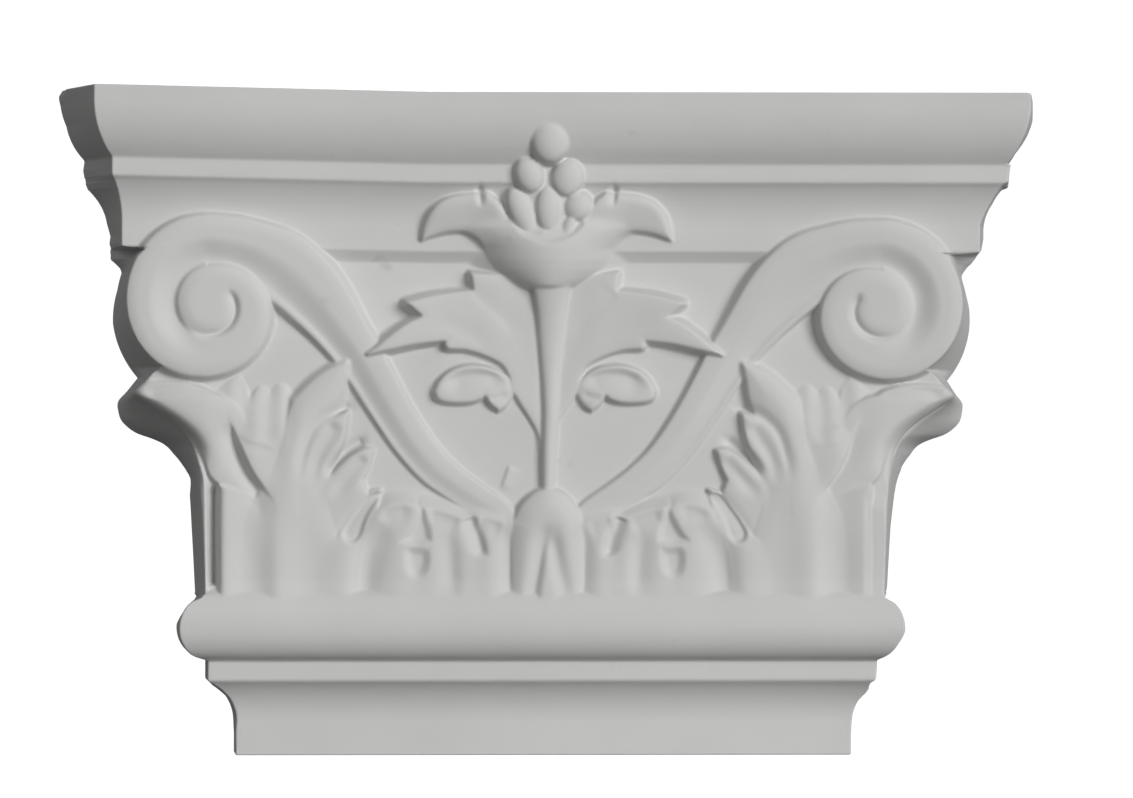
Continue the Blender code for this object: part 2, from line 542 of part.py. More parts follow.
def build_capital():
    points = capital_points()
    row_count, column_count, _ = points.shape
    mesh = bmesh.new()
    grid = [[mesh.verts.new(p) for p in row] for row in points]
    for low, high in zip(grid[:-1], grid[1:]):
        for j in range(column_count - 1):
            mesh.faces.new((low[j], low[j + 1], high[j + 1], high[j]))
    # the bed on top and the seat below run back to the wall, one strip for each column of the front
    ends = []
    for row, sense in ((grid[-1], 1), (grid[0], -1)):
        inner = row[WALL_STEPS:column_count - WALL_STEPS]
        back = [mesh.verts.new((v.co.x, WALL_Y, v.co.z)) for v in inner]
        strips = [(a, b, d, c) for a, b, c, d in zip(inner[:-1], inner[1:], back[:-1], back[1:])]
        strips.append(tuple(row[:WALL_STEPS + 1]) + (back[0],))
        strips.append((back[-1],) + tuple(row[column_count - WALL_STEPS - 1:]))
        for strip in strips:
            mesh.faces.new(strip[::sense])
        ends.append(back)
    bmesh.ops.triangulate(mesh, faces=mesh.faces[:])
    data = bpy.data.meshes.new("capital")
    mesh.to_mesh(data)
    mesh.free()
    capital = bpy.data.objects.new("capital", data)
    bpy.context.collection.objects.link(capital)
    thin = capital.modifiers.new("fewer triangles", "DECIMATE")
    thin.ratio = TRIANGLES / len(data.polygons)
    thinned = bpy.data.meshes.new_from_object(capital.evaluated_get(bpy.context.evaluated_depsgraph_get()))
    capital.modifiers.clear()
    # the flat back closes what is left
    mesh = bmesh.new()
    mesh.from_mesh(thinned)
    rim = [edge for edge in mesh.edges if edge.is_boundary]
    for edge in rim:
        for corner in edge.verts:
            corner.co.y = WALL_Y
    back_face = bmesh.ops.contextual_create(mesh, geom=rim)["faces"]
    bmesh.ops.triangulate(mesh, faces=back_face, ngon_method="EAR_CLIP")
    bmesh.ops.recalc_face_normals(mesh, faces=mesh.faces[:])
    mesh.to_mesh(data)
    mesh.free()
    return capital


def plaster():
    material = bpy.data.materials.new("plaster")
    material.use_nodes = True
    shader = material.node_tree.nodes["Principled BSDF"]
    shader.inputs["Base Color"].default_value = (0.62, 0.62, 0.61, 1)
    shader.inputs["Roughness"].default_value = 0.85
    shader.inputs["Metallic"].default_value = 0.0
    return material


for leftover in list(bpy.data.objects):
    bpy.data.objects.remove(leftover, do_unlink=True)
build_capital().data.materials.append(plaster())
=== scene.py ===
# Plaster pilaster capital, seen as in the photograph.
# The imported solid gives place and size; the finely carved casting below stands for it.

import math

import bmesh
import bpy
import numpy as np
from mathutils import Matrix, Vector


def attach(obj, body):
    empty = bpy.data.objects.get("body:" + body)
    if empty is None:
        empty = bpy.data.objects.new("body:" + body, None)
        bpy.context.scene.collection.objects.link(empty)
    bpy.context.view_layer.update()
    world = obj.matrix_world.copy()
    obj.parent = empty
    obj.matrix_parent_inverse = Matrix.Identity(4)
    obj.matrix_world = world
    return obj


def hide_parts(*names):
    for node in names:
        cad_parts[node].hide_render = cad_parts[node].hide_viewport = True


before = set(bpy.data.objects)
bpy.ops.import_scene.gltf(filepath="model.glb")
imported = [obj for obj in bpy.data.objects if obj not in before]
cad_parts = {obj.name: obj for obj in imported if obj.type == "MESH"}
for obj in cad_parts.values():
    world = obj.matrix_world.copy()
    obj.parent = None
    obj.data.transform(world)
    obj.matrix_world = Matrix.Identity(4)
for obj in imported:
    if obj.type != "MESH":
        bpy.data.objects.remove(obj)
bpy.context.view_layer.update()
print("frame loaded")

millimetre = 0.001

# Sizes of the casting in millimetres, heights from the shaft seat and depths from the wall
body = {
    "levels": {"neckTop": 12.9, "arris": 28.5, "torusFoot": 37.0, "bellFoot": 62.0, "bellTop": 189.3,
        "faceFoot": 193.6, "hollowFoot": 202.5, "listFoot": 219.3, "ovoloFoot": 227.1, "edgeFoot": 248.1, "top": 254.1},
    # depth and half width of each member, and how much wider it is at the wall; torusTop is a height
    "depth": {"torusTop": 63.6, "neck": 36.5, "fillet": 47.0, "torus": 58.5, "bell": 50.5, "face": 50.5,
        "list": 58.5, "top": 68.0},
    "half": {"torusTop": 60.4, "neck": 118.6, "fillet": 128.7, "torus": 139.1, "bell": 131.0, "face": 164.2,
        "list": 167.8, "top": 174.5},
    "spread": {"torusTop": 0.0, "neck": 0.8, "fillet": 1.1, "torus": 1.6, "bell": 3.9, "face": 6.0,
        "list": 12.2, "top": 15.7},
    # bow angle of each arc, and how far it goes towards the next member
    "bow": {"ovolo": 0.75, "hollow": 0.5, "neck": 0.9},
    "way": {"ovolo": 0.03, "hollow": 0.88, "neck": 0.93},
    "ground": 49.0,         # depth of the bell between the leaves
    "abacusShift": 1.8,     # the abacus sits a little to the right of the axis
    "leftRise": 3.2,        # the left end of the casting is bent up
    "flowerShift": 0.6,
    "softness": 0.45,       # rounding of each arris
    "blur": 0.42,           # and of the carving
    "bold": 1.35,           # grooves are cut deeper than drawn
    "endRound": 0.6,        # radius round the seat and the bed
    # radius of the corner between front and returns, by height
    "cornerRound": ((102, 0.9), (110, 4), (118, 7.5), (135, 8), (141, 2.5), (146, 0.9)),
    # by height, how much longer each return and the right of the front are, and how far all is out of line
    "leftReach": ((8, 0), (14, 0.6), (22, 0.8), (26, 1.8), (27.5, 1), (29, 0.2), (50, 0), (55, -1.9),
        (59.5, -3.4), (62, 0), (100, -0.4), (106, -1.6), (110, -1.6), (116, 0), (150, 0.4), (165, 0.8), (178, 0),
        (184, 0), (187, 1), (189, 1.5), (191, 0.6), (193, 0.2), (194, -0.4), (198, -1), (203, 0.4),
        (208, 1.1), (212, 1.8), (215.8, 2.6), (217.8, 1.6), (219.3, -0.2), (219.6, -0.8), (223, -0.2),
        (230, -1.2), (240, -2.6), (248, -1.6), (252, -0.6)),
    "rightReach": ((0, 0), (8, 0.4), (14, 1.5), (18, 1.7), (20, 2), (21.8, 2.9), (23.4, 3), (24.9, 2.4),
        (26.5, 0.5), (28, -1), (30, -0.6), (34, -0.3), (37, -1), (38.5, -1.8), (41, -2.4), (44, -1.2),
        (48, 0), (54, -0.3), (59, -1.6), (62, 0), (64, 0.4), (88, 0.3), (100, 0.9), (107, 1.2), (111, 0.4),
        (116, 1.2), (121, 0.4), (134, 0), (144, 1.9), (158, 1.6), (172, 1.5), (182, 1.1), (186, 1.4),
        (188, 1.3), (190, 0.9), (192, 0.1), (194, -0.7), (196, 0), (200, 0.7), (214, 0.6), (219, -0.4),
        (219.6, 0.5), (224, 1), (228, -1.4), (233, -2.2), (240, -0.9), (246, 0)),
    "longerRight": ((0, 0), (21, 0.2), (24, 1.2), (25.5, 0.9), (28, -1), (30, -0.4), (36, 0), (38, -1.3),
        (43, -1.3), (48, 0), (192.4, 0), (193.6, 1.5), (204, 1.5), (219.2, 6.5), (220.5, 8.2), (226.8, 9),
        (227.3, 7.2), (248, 9.5)),
    "lean": ((9, 0), (14, 0.3), (22, 0.4), (25.5, 0), (27, -0.4), (29, -0.6), (37, -0.6), (39, -1),
        (60, -1), (62, 0)),
    "wornEnd": 0.8,         # radius of the worn top corner on the right
    "chip": 1.6,            # and depth of the chip in the left one
    "triangles": 195000,
    "gridStep": 0.46,
    "wallSteps": 40,        # columns of each return
    "coreHalf": 112.0,      # half width where the columns are upright
    "coreShare": 0.62,      # and the share of them there
    "sharpAngle": 60,
    "longEdge": 3.0,        # triangles longer than this
    "streakAngle": 3.0,     # and turned by more degrees keep their own normals
}
wallY = body["depth"]["neck"] / 2
level = body["levels"]


def ease(t):
    # 3 t squared minus 2 t cubed, from 0 to 1
    t = np.clip(t, 0.0, 1.0)
    return t * t * (3.0 - 2.0 * t)


def softMax(a, b, width):
    # the larger of a and b, with a quadratic fillet where they cross
    share = np.clip(0.5 + 0.5 * (a - b) / width, 0.0, 1.0)
    return b + (a - b) * share + width * share * (1.0 - share)


def abacusShare(z):
    # from 0 at the bell's top to 1 at the foot of the abacus
    return np.clip((z - level["bellTop"]) / (level["faceFoot"] - level["bellTop"]), 0, 1)


def cubic(a, b, c, d, t):
    # Catmull-Rom, from b to c at t
    return 0.5 * (2 * b + (c - a) * t + (2 * a - 5 * b + 4 * c - d) * t ** 2 + (3 * b - a - 3 * c + d) * t ** 3)


def smoothLine(points, steps=8):
    # a curve through the points
    knots = np.array(points, float)
    if len(knots) < 3:
        return knots
    knots = np.vstack([2 * knots[0] - knots[1], knots, 2 * knots[-1] - knots[-2]])
    t = np.linspace(0, 1, steps, endpoint=False)[:, None]
    spans = [cubic(*four, t) for four in zip(knots[:-3], knots[1:-2], knots[2:-1], knots[3:])]
    return np.vstack(spans + [knots[-2:-1]])


def closedOutline(runs):
    # smooth runs with a corner between them, each from the end of the one before
    whole = np.vstack([smoothLine([runs[i - 1][-1]] + run) for i, run in enumerate(runs)])
    gaps = np.hypot(*(whole - np.roll(whole, 1, axis=0)).T)
    return whole[gaps > 1e-6]


def lineDistance(line, x, z):
    # distance to a line, the share of its length there, and the side: 1 on the left of its way
    nearest = np.full(x.shape, 1e9)
    share = np.zeros(x.shape)
    side = np.ones(x.shape)
    lengths = np.hypot(*(line[1:] - line[:-1]).T)
    done = 0.0
    for (ax, az), (bx, bz), length in zip(line[:-1], line[1:], lengths):
        dx, dz = bx - ax, bz - az
        t = np.clip(((x - ax) * dx + (z - az) * dz) / (length ** 2 + 1e-12), 0, 1)
        ex, ez = x - ax - t * dx, z - az - t * dz
        gap = ex * ex + ez * ez
        closer = gap < nearest
        nearest = np.where(closer, gap, nearest)
        share = np.where(closer, (done + t * length) / lengths.sum(), share)
        side = np.where(closer, np.sign(dx * ez - dz * ex), side)
        done += length
    return np.sqrt(nearest), share, side


def outlineDistance(outline, x, z):
    # distance to a closed outline, positive inside
    closed = np.vstack([outline, outline[:1]])
    inside = np.zeros(x.shape, bool)
    for (ax, az), (bx, bz) in zip(closed[:-1], closed[1:]):
        if az != bz:
            inside ^= ((az > z) != (bz > z)) & (x < ax + (z - az) * (bx - ax) / (bz - az))
    return np.where(inside, 1, -1) * lineDistance(closed, x, z)[0]


# The carving is drawn on a sheet, in millimetres: x from the axis, z up, h over the bell's ground
sheetScale = 1.015
sheetLevel = 110.0


def between(sheet, low, high):
    # the sheet between two corners, and the places in it
    x, z = sheet["x"], sheet["z"]
    window = (x > low[0]) & (x < high[0]) & (z > low[1]) & (z < high[1])
    return window, x[window], z[window]


def around(sheet, line, margin):
    return between(sheet, line.min(0) - margin, line.max(0) + margin)


def lay(sheet, window, height, blend):
    sheet["h"][window] = softMax(sheet["h"][window], height, blend)


def raiseForm(sheet, runs, top, crown=0.0, width=6.0, wall=3.2, blend=0.6, model=None):
    # top + crown (1 - (1 - inward / width) squared), falling by the wall's slope outside the outline
    outline = closedOutline(runs)
    window, x, z = around(sheet, outline, 9.0)
    inward = outlineDistance(outline, x, z)
    height = top(x, z) if callable(top) else top
    height = height + crown * (1 - (1 - np.clip(inward / width, 0, 1)) ** 2)
    if model is not None:
        height = height + model(x, z, inward)
    lay(sheet, window, height + wall * np.minimum(inward, 0), blend)


def cutForm(sheet, runs, depth, wall):
    # a hollow, eased over the wall's width
    outline = closedOutline(runs)
    window, x, z = around(sheet, outline, 3.0)
    inward = outlineDistance(outline, x, z)
    sheet["h"][window] -= depth * ease((inward + 0.3 * wall) / wall)


def fading(share, fade):
    # 1, and towards 0 over the fading share at each end of a line
    return ease((share + 0.02) / (fade[0] + 0.02)) * ease((1.02 - share) / (fade[1] + 0.02))


def cutLine(sheet, points, depth, left, right, fade=(0.2, 0.2)):
    # groove, or ridge if the depth is negative: a bell curve with its own width on each side
    line = smoothLine(points)
    window, x, z = around(sheet, line, 2.4 * max(left, right))
    gap, share, side = lineDistance(line, x, z)
    strength = body["bold"] * depth * fading(share, fade)
    sheet["h"][window] -= strength * np.exp(-(gap / np.where(side > 0, left, right)) ** 2)


def cutLines(sheet, lines):
    # each with its depth, its widths on the left and right, and its fading share at each end
    for line in lines:
        cutLine(sheet, *line)


def onSide(sheet, side, carve):
    # only this side of the casting is carved
    before = sheet["h"].copy()
    carve()
    sheet["h"] = np.where(side, sheet["h"], before)


def raiseStep(sheet, points, rise, wall, reach, fade=(0.2, 0.2)):
    # a step up to the left of the line, over the wall's width, that runs out over its reach
    line = smoothLine(points)
    window, x, z = around(sheet, line, 2.4 * reach)
    gap, share, side = lineDistance(line, x, z)
    gap = gap * side
    step = rise * fading(share, fade) * ease(gap / wall + 0.5)
    sheet["h"][window] += step * np.exp(-(np.maximum(gap, 0) / reach) ** 2)


# Moulded body

def arc(z, first, last, start, end, bow):
    # arc of a circle, upright at the first height and leaning by the bow angle at the last
    t = np.sin(bow) * np.clip((z - first) / (last - first), 0, 1)
    return start + (end - start) * (1 - np.sqrt(1 - t * t)) / (1 - math.cos(bow))


def mouldedSharp(z, v):
    # one measure of the moulded body at height z
    swing = np.clip((z - level["torusFoot"]) / (v["torusTop"] - level["torusFoot"]) * 2 - 1, -1, 1)
    torusFoot = np.where(swing < 0, v["fillet"], v["bell"])
    way, bow = body["way"], body["bow"]
    limits = dict(level, torusTop=v["torusTop"])
    members = [
        ("edgeFoot", v["top"]),
        ("ovoloFoot", arc(z, level["edgeFoot"], level["ovoloFoot"],
            v["top"], v["list"] + way["ovolo"] * (v["top"] - v["list"]), bow["ovolo"])),
        ("listFoot", v["list"]),
        ("hollowFoot", arc(z, level["hollowFoot"], level["listFoot"],
            v["face"], v["face"] + way["hollow"] * (v["list"] - v["face"]), bow["hollow"])),
        ("faceFoot", v["face"]),
        ("bellTop", v["bell"] + (v["face"] - v["bell"]) * abacusShare(z)),
        ("torusTop", v["bell"]),
        ("torusFoot", torusFoot + (v["torus"] - torusFoot) * np.sqrt(1 - swing * swing)),
        ("arris", v["fillet"]),
        ("neckTop", arc(z, level["neckTop"], level["arris"],
            v["neck"], v["neck"] + way["neck"] * (v["fillet"] - v["neck"]), bow["neck"])),
    ]
    return np.select([z > limits[name] for name, _ in members],
                     [np.broadcast_to(value, z.shape) for _, value in members], v["neck"])


def moulded(z, values):
    # the same, blurred by the plaster's softness
    step, margin, spare = 0.05, 3.0, 40
    fine = np.arange(-margin, level["top"] + margin, step)
    reach = np.arange(-30, 31) * step
    weight = np.exp(-0.5 * (reach / body["softness"]) ** 2)
    sharp = mouldedSharp(np.clip(fine, 0, level["top"]), values)
    blurred = np.convolve(sharp, weight / weight.sum(), mode="same")
    return np.interp(z, fine[spare:-spare], blurred[spare:-spare])


# Corner scroll: a channelled band that climbs from the bud and rolls up under the abacus
scroll = {
    "centre": (131.5, 171.2),
    "radii": (36.0, 31.4, 26.0, 24.2, 16.2, 10.6, 9.6, 10.8, 10.0),   # every quarter turn, from the top, clockwise
    "upper": ((13, 95), (17, 98.5), (25, 104), (34, 111), (43, 120.5), (53, 136), (63, 155), (70.5, 168),
        (80.5, 185), (90, 195.5), (99, 201.3), (110, 204.6), (120, 206.6), (131.5, 207.2)),
    "lower": ((22, 88), (30, 94), (39, 99.5), (48, 106), (58, 117), (69, 133), (79, 148), (89, 159.5),
        (99, 168.6), (107, 175.2), (113, 180.2), (121, 184.9), (131.5, 187.4)),
    "rim": 7.0,
    "channel": 3.4,
    "shoulder": 1.3,
    "shoulderWidth": 5.5,
    "wall": 3.0,
    # the same on the stem, at each stage of its way up
    "stages": (0, 0.25, 0.6, 1),
    "stemRim": (3.0, 3.8, 5.2, 7.0),
    "stemChannel": (0.7, 1.7, 2.7, 3.4),
    "stemShoulder": (0.4, 0.5, 0.8, 1.3),
    # the plain round at its back: wider by this, at least this wide, and lower by this
    "backSpread": 4.6,
    "backRadius": 36.8,
    "backDrop": 1.5,
}


def scrollRadius(turns):
    # smooth curve through the radii
    radii = np.array(scroll["radii"])
    t = np.clip(turns * 4, 0, len(radii) - 1.0001)
    i = t.astype(int)
    return cubic(*(radii[np.clip(i + k, 0, len(radii) - 1)] for k in (-1, 0, 1, 2)), t - i)


def channel(share, lip):
    # 0 on the rim and 1 in the hollow, less the lip at the inner edge
    return ease((share - 0.40) / 0.48) - lip * ease((share - 0.84) / 0.16)


def carveScroll(sheet):
    centreX, centreZ = scroll["centre"]
    rim, wall, shoulder = scroll["rim"], scroll["wall"], scroll["shoulder"]

    def fall(inward):
        # (1 - inward / width) squared
        return np.clip(1 - inward / scroll["shoulderWidth"], 0, 1) ** 2
    window, x, z = between(sheet, (5, 80), (175, 215))
    upper, along, upperSide = lineDistance(smoothLine(scroll["upper"]), x, z)
    lower, _, lowerSide = lineDistance(smoothLine(scroll["lower"]), x, z)
    upper, lower = -upper * upperSide, lower * lowerSide
    share = np.clip(upper / np.maximum(upper + lower, 1e-3), 0, 1)
    stem, hollow, drop = (np.interp(along, scroll["stages"], scroll["stem" + name])
                          for name in ("Rim", "Channel", "Shoulder"))
    # lower down the stem has a lip along its inner edge
    young = 1 - ease(along * 2 - 1)
    stem -= hollow * channel(share, 0.45 * young)
    stem -= drop * fall(upper) + 0.6 * (1 - ease(lower / 2.0)) * young
    stem += wall * np.minimum(np.minimum(upper, lower), 0)
    stem = np.where(x > centreX, -99.0, stem)
    radius = np.hypot(x - centreX, z - centreZ)
    turn = np.arctan2(x - centreX, z - centreZ) / (2 * math.pi) % 1.0
    outer, inner = scrollRadius(turn), scrollRadius(turn + 1.0)
    share = np.clip((outer - radius) / (outer - inner), 0, 1)
    deep = 1 - ease((turn - 0.26) / 0.28)
    roll = rim - scroll["channel"] * channel(share, 0.0) * deep
    roll -= shoulder * fall(outer - radius)
    # the eye stands over the channel, with a groove round it where the channel ends
    eye = 1 - ease((radius - inner) / 1.8)
    ring = shoulder * (1 - ease((turn - 0.80) / 0.08))
    roll += (rim - ring * fall(inner - radius) - roll) * eye
    groove = ease((turn - 0.36) / 0.22) * ease((0.88 - turn) / 0.08)
    roll -= 1.3 * groove * np.exp(-((radius - inner - 0.6) / 1.4) ** 2)
    roll = np.where(radius > outer, rim - shoulder - wall * (radius - outer), roll)
    lay(sheet, window, np.maximum(stem, roll), 1.0)


# Corner leaf: a lower sheet, and an upper one that ends in the horn under the scroll
cornerLeaf = {
    "low": [[(96, 80), (101, 91), (107, 96.5), (116, 101), (127, 104)], [(127.2, 85), (126.8, 56)], [(126.8, 50),
        (95, 50)]],
    "edge": [[(123.5, 100), (127, 103.5), (132, 107)], [(133.2, 80), (133.2, 50)], [(123.5, 50)]],
    "grooves": [([(128.8, 104), (129, 85), (128.8, 55)], 3.4, 1.8, 2.2, (0.06, 0.01)),
        ([(131.6, 56), (131.8, 85), (132.4, 104), (134.6, 112), (138.4, 119), (143.2, 125), (151, 131)],
            -1.2, 1.1, 1.1, (0.01, 0.2))],
    "slit": [(121.8, 128), (119.6, 121.5), (117, 115.5), (113.8, 109), (109.4, 102.6), (105.6, 96.6), (103.6, 92)],
    "fan": [[(97, 115), (98, 138)], [(100.5, 142), (103.5, 142.6)], [(106.8, 138.8)], [(109, 141.8),
        (111.5, 141.4)], [(114.8, 137)], [(116.2, 142), (118.8, 146)], [(122.6, 143.6), (127, 139.8)],
        [(126, 135), (124, 131), (121.8, 127)], [(119.2, 121.5), (116.6, 115.5), (113.4, 109), (109.2, 103),
        (105.6, 98), (104, 92)], [(96, 92)]],
    "ridge": [(112, 98), (117, 110), (122, 120), (129, 129), (138, 135), (149, 138.4), (162, 139.6)],
    "horn": [[(112, 97), (119, 101.4), (128, 105)], [(130.6, 108), (132.4, 113), (135.6, 119.4), (140.2, 124.6),
        (147.4, 129.6), (156, 133.6), (168, 138.6)], [(160, 141.2), (150, 142.8), (141, 142.6), (134, 141),
        (129.5, 138.6)], [(124, 137), (118, 132), (113, 118), (105, 104)], [(104, 96), (105, 90)]],
}


def carveCornerLow(sheet):
    # a valley between two ribs
    raiseForm(sheet, cornerLeaf["low"],
              lambda x, z: 4.2 + 0.9 * np.cos(np.minimum(125.6 - x, 12) / 12 * math.pi), wall=4.0)

    def fillEdge():
        raiseForm(sheet, cornerLeaf["edge"], lambda x, z: 4.4 - 4.4 * ease((z - 94) / 8), wall=1.5, blend=1.0)
        cutLine(sheet, [(126.2, 101), (126.4, 85), (126.2, 55)], 0.4, 1.3, 1.3, (0.1, 0.01))
    # the groove beside its edge is deep on the left and nearly filled on the right
    onSide(sheet, ~sheet["left"], fillEdge)
    onSide(sheet, sheet["left"], lambda: cutLines(sheet, cornerLeaf["grooves"]))


def carveCornerTip(sheet):
    def hornTop(x, z):
        return 3.4 + 0.8 * ease((x - 120) / 14) - 4.0 * np.clip((x - 128) / 32, 0, 1) ** 2
    ridge = smoothLine(cornerLeaf["ridge"])

    def sweep(x, z, inward):
        # below its ridge the horn goes back by the cube of the way to the edge
        gap, share, side = lineDistance(ridge, x, z)
        way = np.where(side < 0, gap / (gap + np.maximum(inward, 0) + 0.01), 0)
        return -3.6 * way ** 3 * ease((share - 0.18) / 0.35)
    raiseForm(sheet, cornerLeaf["horn"], hornTop, crown=0.8, width=6, wall=3.0, blend=1.2, model=sweep)
    cutLine(sheet, [(130, 138), (133, 140.2), (140, 141), (148, 140.6), (153, 138.8), (156, 136)], 1.0, 2.4, 2.4)
    # the slit between fan and horn is deeper on the left
    cutLine(sheet, cornerLeaf["slit"], 1.2, 5.0, 3.0, (0.3, 0.2))
    onSide(sheet, sheet["left"], lambda: cutLine(sheet, cornerLeaf["slit"], 3.0, 4.6, 3.2, (0.2, 0.1)))

    def ribs(x, z, inward):
        # cosine ribs, over a surface that climbs towards the slit
        fan = 0.30 * np.cos((x - 112.3) / 9.5 * 2 * math.pi) * ease((z - 116) / 8)
        return fan + 1.8 * ease((x - 103) / 14) * ease((126 - z) / 12) - 3.9 * ease((z - 124) / 20)
    raiseForm(sheet, cornerLeaf["fan"], 4.2, crown=0.6, width=5, wall=2.5, blend=1.2, model=ribs)
    raiseStep(sheet, [(104.5, 117), (109, 118.8), (113, 119.8), (117, 121.4), (119.5, 125)], 0.5, 2.2, 6.0)


# Tall leaf: a ribbed blade with three side lobes
tallLeaf = {
    "crest": [(103.5, 50), (103.3, 75), (101.8, 90), (98.7, 105), (98.3, 115), (96.6, 125), (92, 135), (86, 143),
        (78.3, 150.6)],
    "blade": [[(81, 80), (84, 92), (86.5, 105), (84, 120), (82, 131)], [(79.6, 138), (78.4, 145), (77.2, 151.2)],
        [(83, 149), (89, 145.2), (94, 140.6), (98, 136.5)], [(99.6, 131), (100.6, 125), (102, 118), (106, 109),
        (112, 99), (117, 85), (119, 50)], [(79, 50)]],
    "eye": [[(68.4, 100.6), (73, 95), (76.6, 90), (78.8, 85.4), (77.6, 82.2), (74.4, 81.4), (71.6, 84.2),
        (69.6, 90), (66.6, 95.6), (62.8, 100)], [(63.4, 101.6)]],
    "lobes": [
        [[(86.5, 100), (83.5, 110), (80, 117), (77.8, 124), (76.6, 132.2)], [(80.5, 131), (85, 128.2),
            (89, 123.6), (92, 116), (94, 106), (95, 90)], [(90, 88)]],
        [[(70.5, 118), (75, 115.6), (79.5, 112), (83, 108.4), (88, 102), (90, 84)], [(82, 80), (78.8, 85.4),
            (76.8, 90), (73.2, 95.2), (69.6, 100.4), (70, 103), (71.2, 105.6)], [(68.8, 111), (66.8, 117.6)]],
        [[(68.4, 100.8), (73, 95.2), (76.8, 90), (80, 85), (88, 76), (93, 50)], [(73, 50)], [(71.5, 74), (68, 86),
            (65.5, 94), (63.8, 102)]],
    ],
    # the high lobe, then the middle one
    "grooves": [
        ([(76, 133.4), (80, 132.6), (84.4, 130.6), (88.4, 127.2), (91.4, 122.6), (93.4, 117), (94.8, 111),
            (95.2, 104)], 1, 2.6, 1.5, (0.02, 0.35)),
        ([(80.6, 128.4), (83.4, 122.4), (86.8, 117), (89.2, 111), (90.6, 103)], 1.1, 3, 2.8, (0.15, 0.4)),
        ([(71, 121), (75.5, 118.4), (79.6, 115), (82.8, 111.2), (85.6, 106.4)], 1.7, 2, 1.8, (0.02, 0.3)),
        ([(69.6, 115.2), (72.2, 111.4), (75.8, 107.2), (79.8, 103), (84.5, 98)], 1, 2.8, 2.6, (0.15, 0.4)),
    ],
}


def carveTallLeaf(sheet):
    crest = smoothLine(tallLeaf["crest"])

    def rib(x, z, inward):
        # a bell-shaped rib along the crest
        swell = (1.1 + 0.4 * ease((z - 105) / 15)) * np.exp(-(lineDistance(crest, x, z)[0] / 7.0) ** 2)
        return swell - 1.4 * ease((x - 104) / 10) * ease((114 - z) / 12)
    raiseForm(sheet, tallLeaf["blade"], 3.6, crown=0.9, width=7, wall=1.8, blend=2.0, model=rib)
    high, middle, low = tallLeaf["lobes"]
    raiseForm(sheet, low, lambda x, z: 3.8 - 0.9 * ease((x - 80) / 10), crown=1.0, width=7, wall=4.0, blend=1.5)
    raiseForm(sheet, middle, lambda x, z: 2.6 + 0.9 * ease((z - 88) / 18), crown=0.8, width=4, wall=4.0, blend=0.8)
    raiseForm(sheet, high, lambda x, z: 1.8 + 2.4 * ease((z - 90) / 24), crown=0.8, width=4, wall=4.0, blend=0.8)
    cutLines(sheet, tallLeaf["grooves"])
    # the eye between the middle and low lobes
    cutForm(sheet, tallLeaf["eye"], 2.3, 1.9)


# Low leaf between the tall leaf and the bud
lowLeaf = {
    "outline": [[(12.5, 86), (15, 89.4), (20, 90.8), (26, 91.8), (29.6, 91.4), (33, 91.8), (39, 93.6),
        (48.2, 95.6)], [(48.6, 94.2)], [(51, 96.2), (55, 97), (60, 96.4), (64.5, 94)], [(69, 86), (73, 74),
        (75, 50)], [(12, 50)]],
    "grooves": [
        ([(16.5, 87), (20.5, 88.4), (26, 90)], 0.8, 2.2, 5, (0.3, 0.2)),
        ([(32.5, 88), (37, 90.2), (42, 91.8), (46.5, 92.6)], 1, 2.4, 4.5, (0.25, 0.25)),
        ([(51.5, 93), (56, 94), (61, 92.6), (64, 89.5)], 0.8, 2.2, 4, (0.3, 0.3)),
        ([(29.2, 91.4), (27.6, 87), (25.8, 82), (25, 78.4), (25.4, 76.2)], 2.1, 3.2, 2.1, (0.05, 0.1)),
        ([(38.6, 88), (37.4, 80), (36.6, 72), (36, 60)], 0.8, 3.6, 3.6, (0.3, 0.3)),
        ([(59, 91), (64, 84), (68, 75), (70, 64), (70, 54)], 1.2, 5, 5, (0.3, 0.02)),
        ([(15.4, 92), (14.4, 84), (13.6, 72), (13.4, 54)], 1.6, 4.4, 3.4, (0.3, 0.02)),
    ],
    "hollows": [
        ([[(50.4, 90.6), (53, 86), (56.2, 82)], [(50, 80.8), (44.4, 82)], [(45, 88), (47.8, 95.4)]], 2.3, 3.6),
        ([[(50, 79.4), (53.6, 78.6), (54.2, 74), (53, 69.6), (50, 68), (46.8, 69.6), (45.2, 74), (45.6, 79.6)],
            [(45.6, 78.6)]], 2.0, 4.2),
    ],
}


def carveLowLeaf(sheet):
    def height(x, z):
        # higher at its upper edge, lower beside the tall leaf
        return 4.6 + 0.4 * ease((z - 66) / 26) - 1.2 * ease((x - 57) / 15) * ease((94 - z) / 14)
    raiseForm(sheet, lowLeaf["outline"], height, crown=0.5, width=2.5, wall=1.0, blend=1.5)
    cutLines(sheet, lowLeaf["grooves"])
    for runs, depth, wall in lowLeaf["hollows"]:
        cutForm(sheet, runs, depth, wall)


# Bud at the foot of the stalk, with a tongue down its middle
bud = {
    "outline": [[(-13.6, 86), (-12.4, 91), (-9.4, 96.4), (-4.6, 100.8), (0.8, 102.4), (6, 100.8), (10.4, 96.4),
        (13.2, 91), (14.2, 86), (14.2, 50)], [(-13.5, 50)]],
    "grooves": [([(0.2, 90), (-1.8, 80), (-3.3, 71), (-4.8, 62), (-5, 52)], 1.7, 1.9, 3.4, (0.3, 0.01)),
        ([(0.6, 90), (3, 80), (5, 71), (7, 62), (7.2, 52)], 1.5, 3.4, 3, (0.3, 0.01))],
}


def carveBud(sheet):
    # with a soft belly round its upper half
    raiseForm(sheet, bud["outline"], 3.6, crown=3.4, width=9,
              model=lambda x, z, inward: 0.9 * np.exp(-((z - 95) / 9) ** 2))
    cutLines(sheet, bud["grooves"])


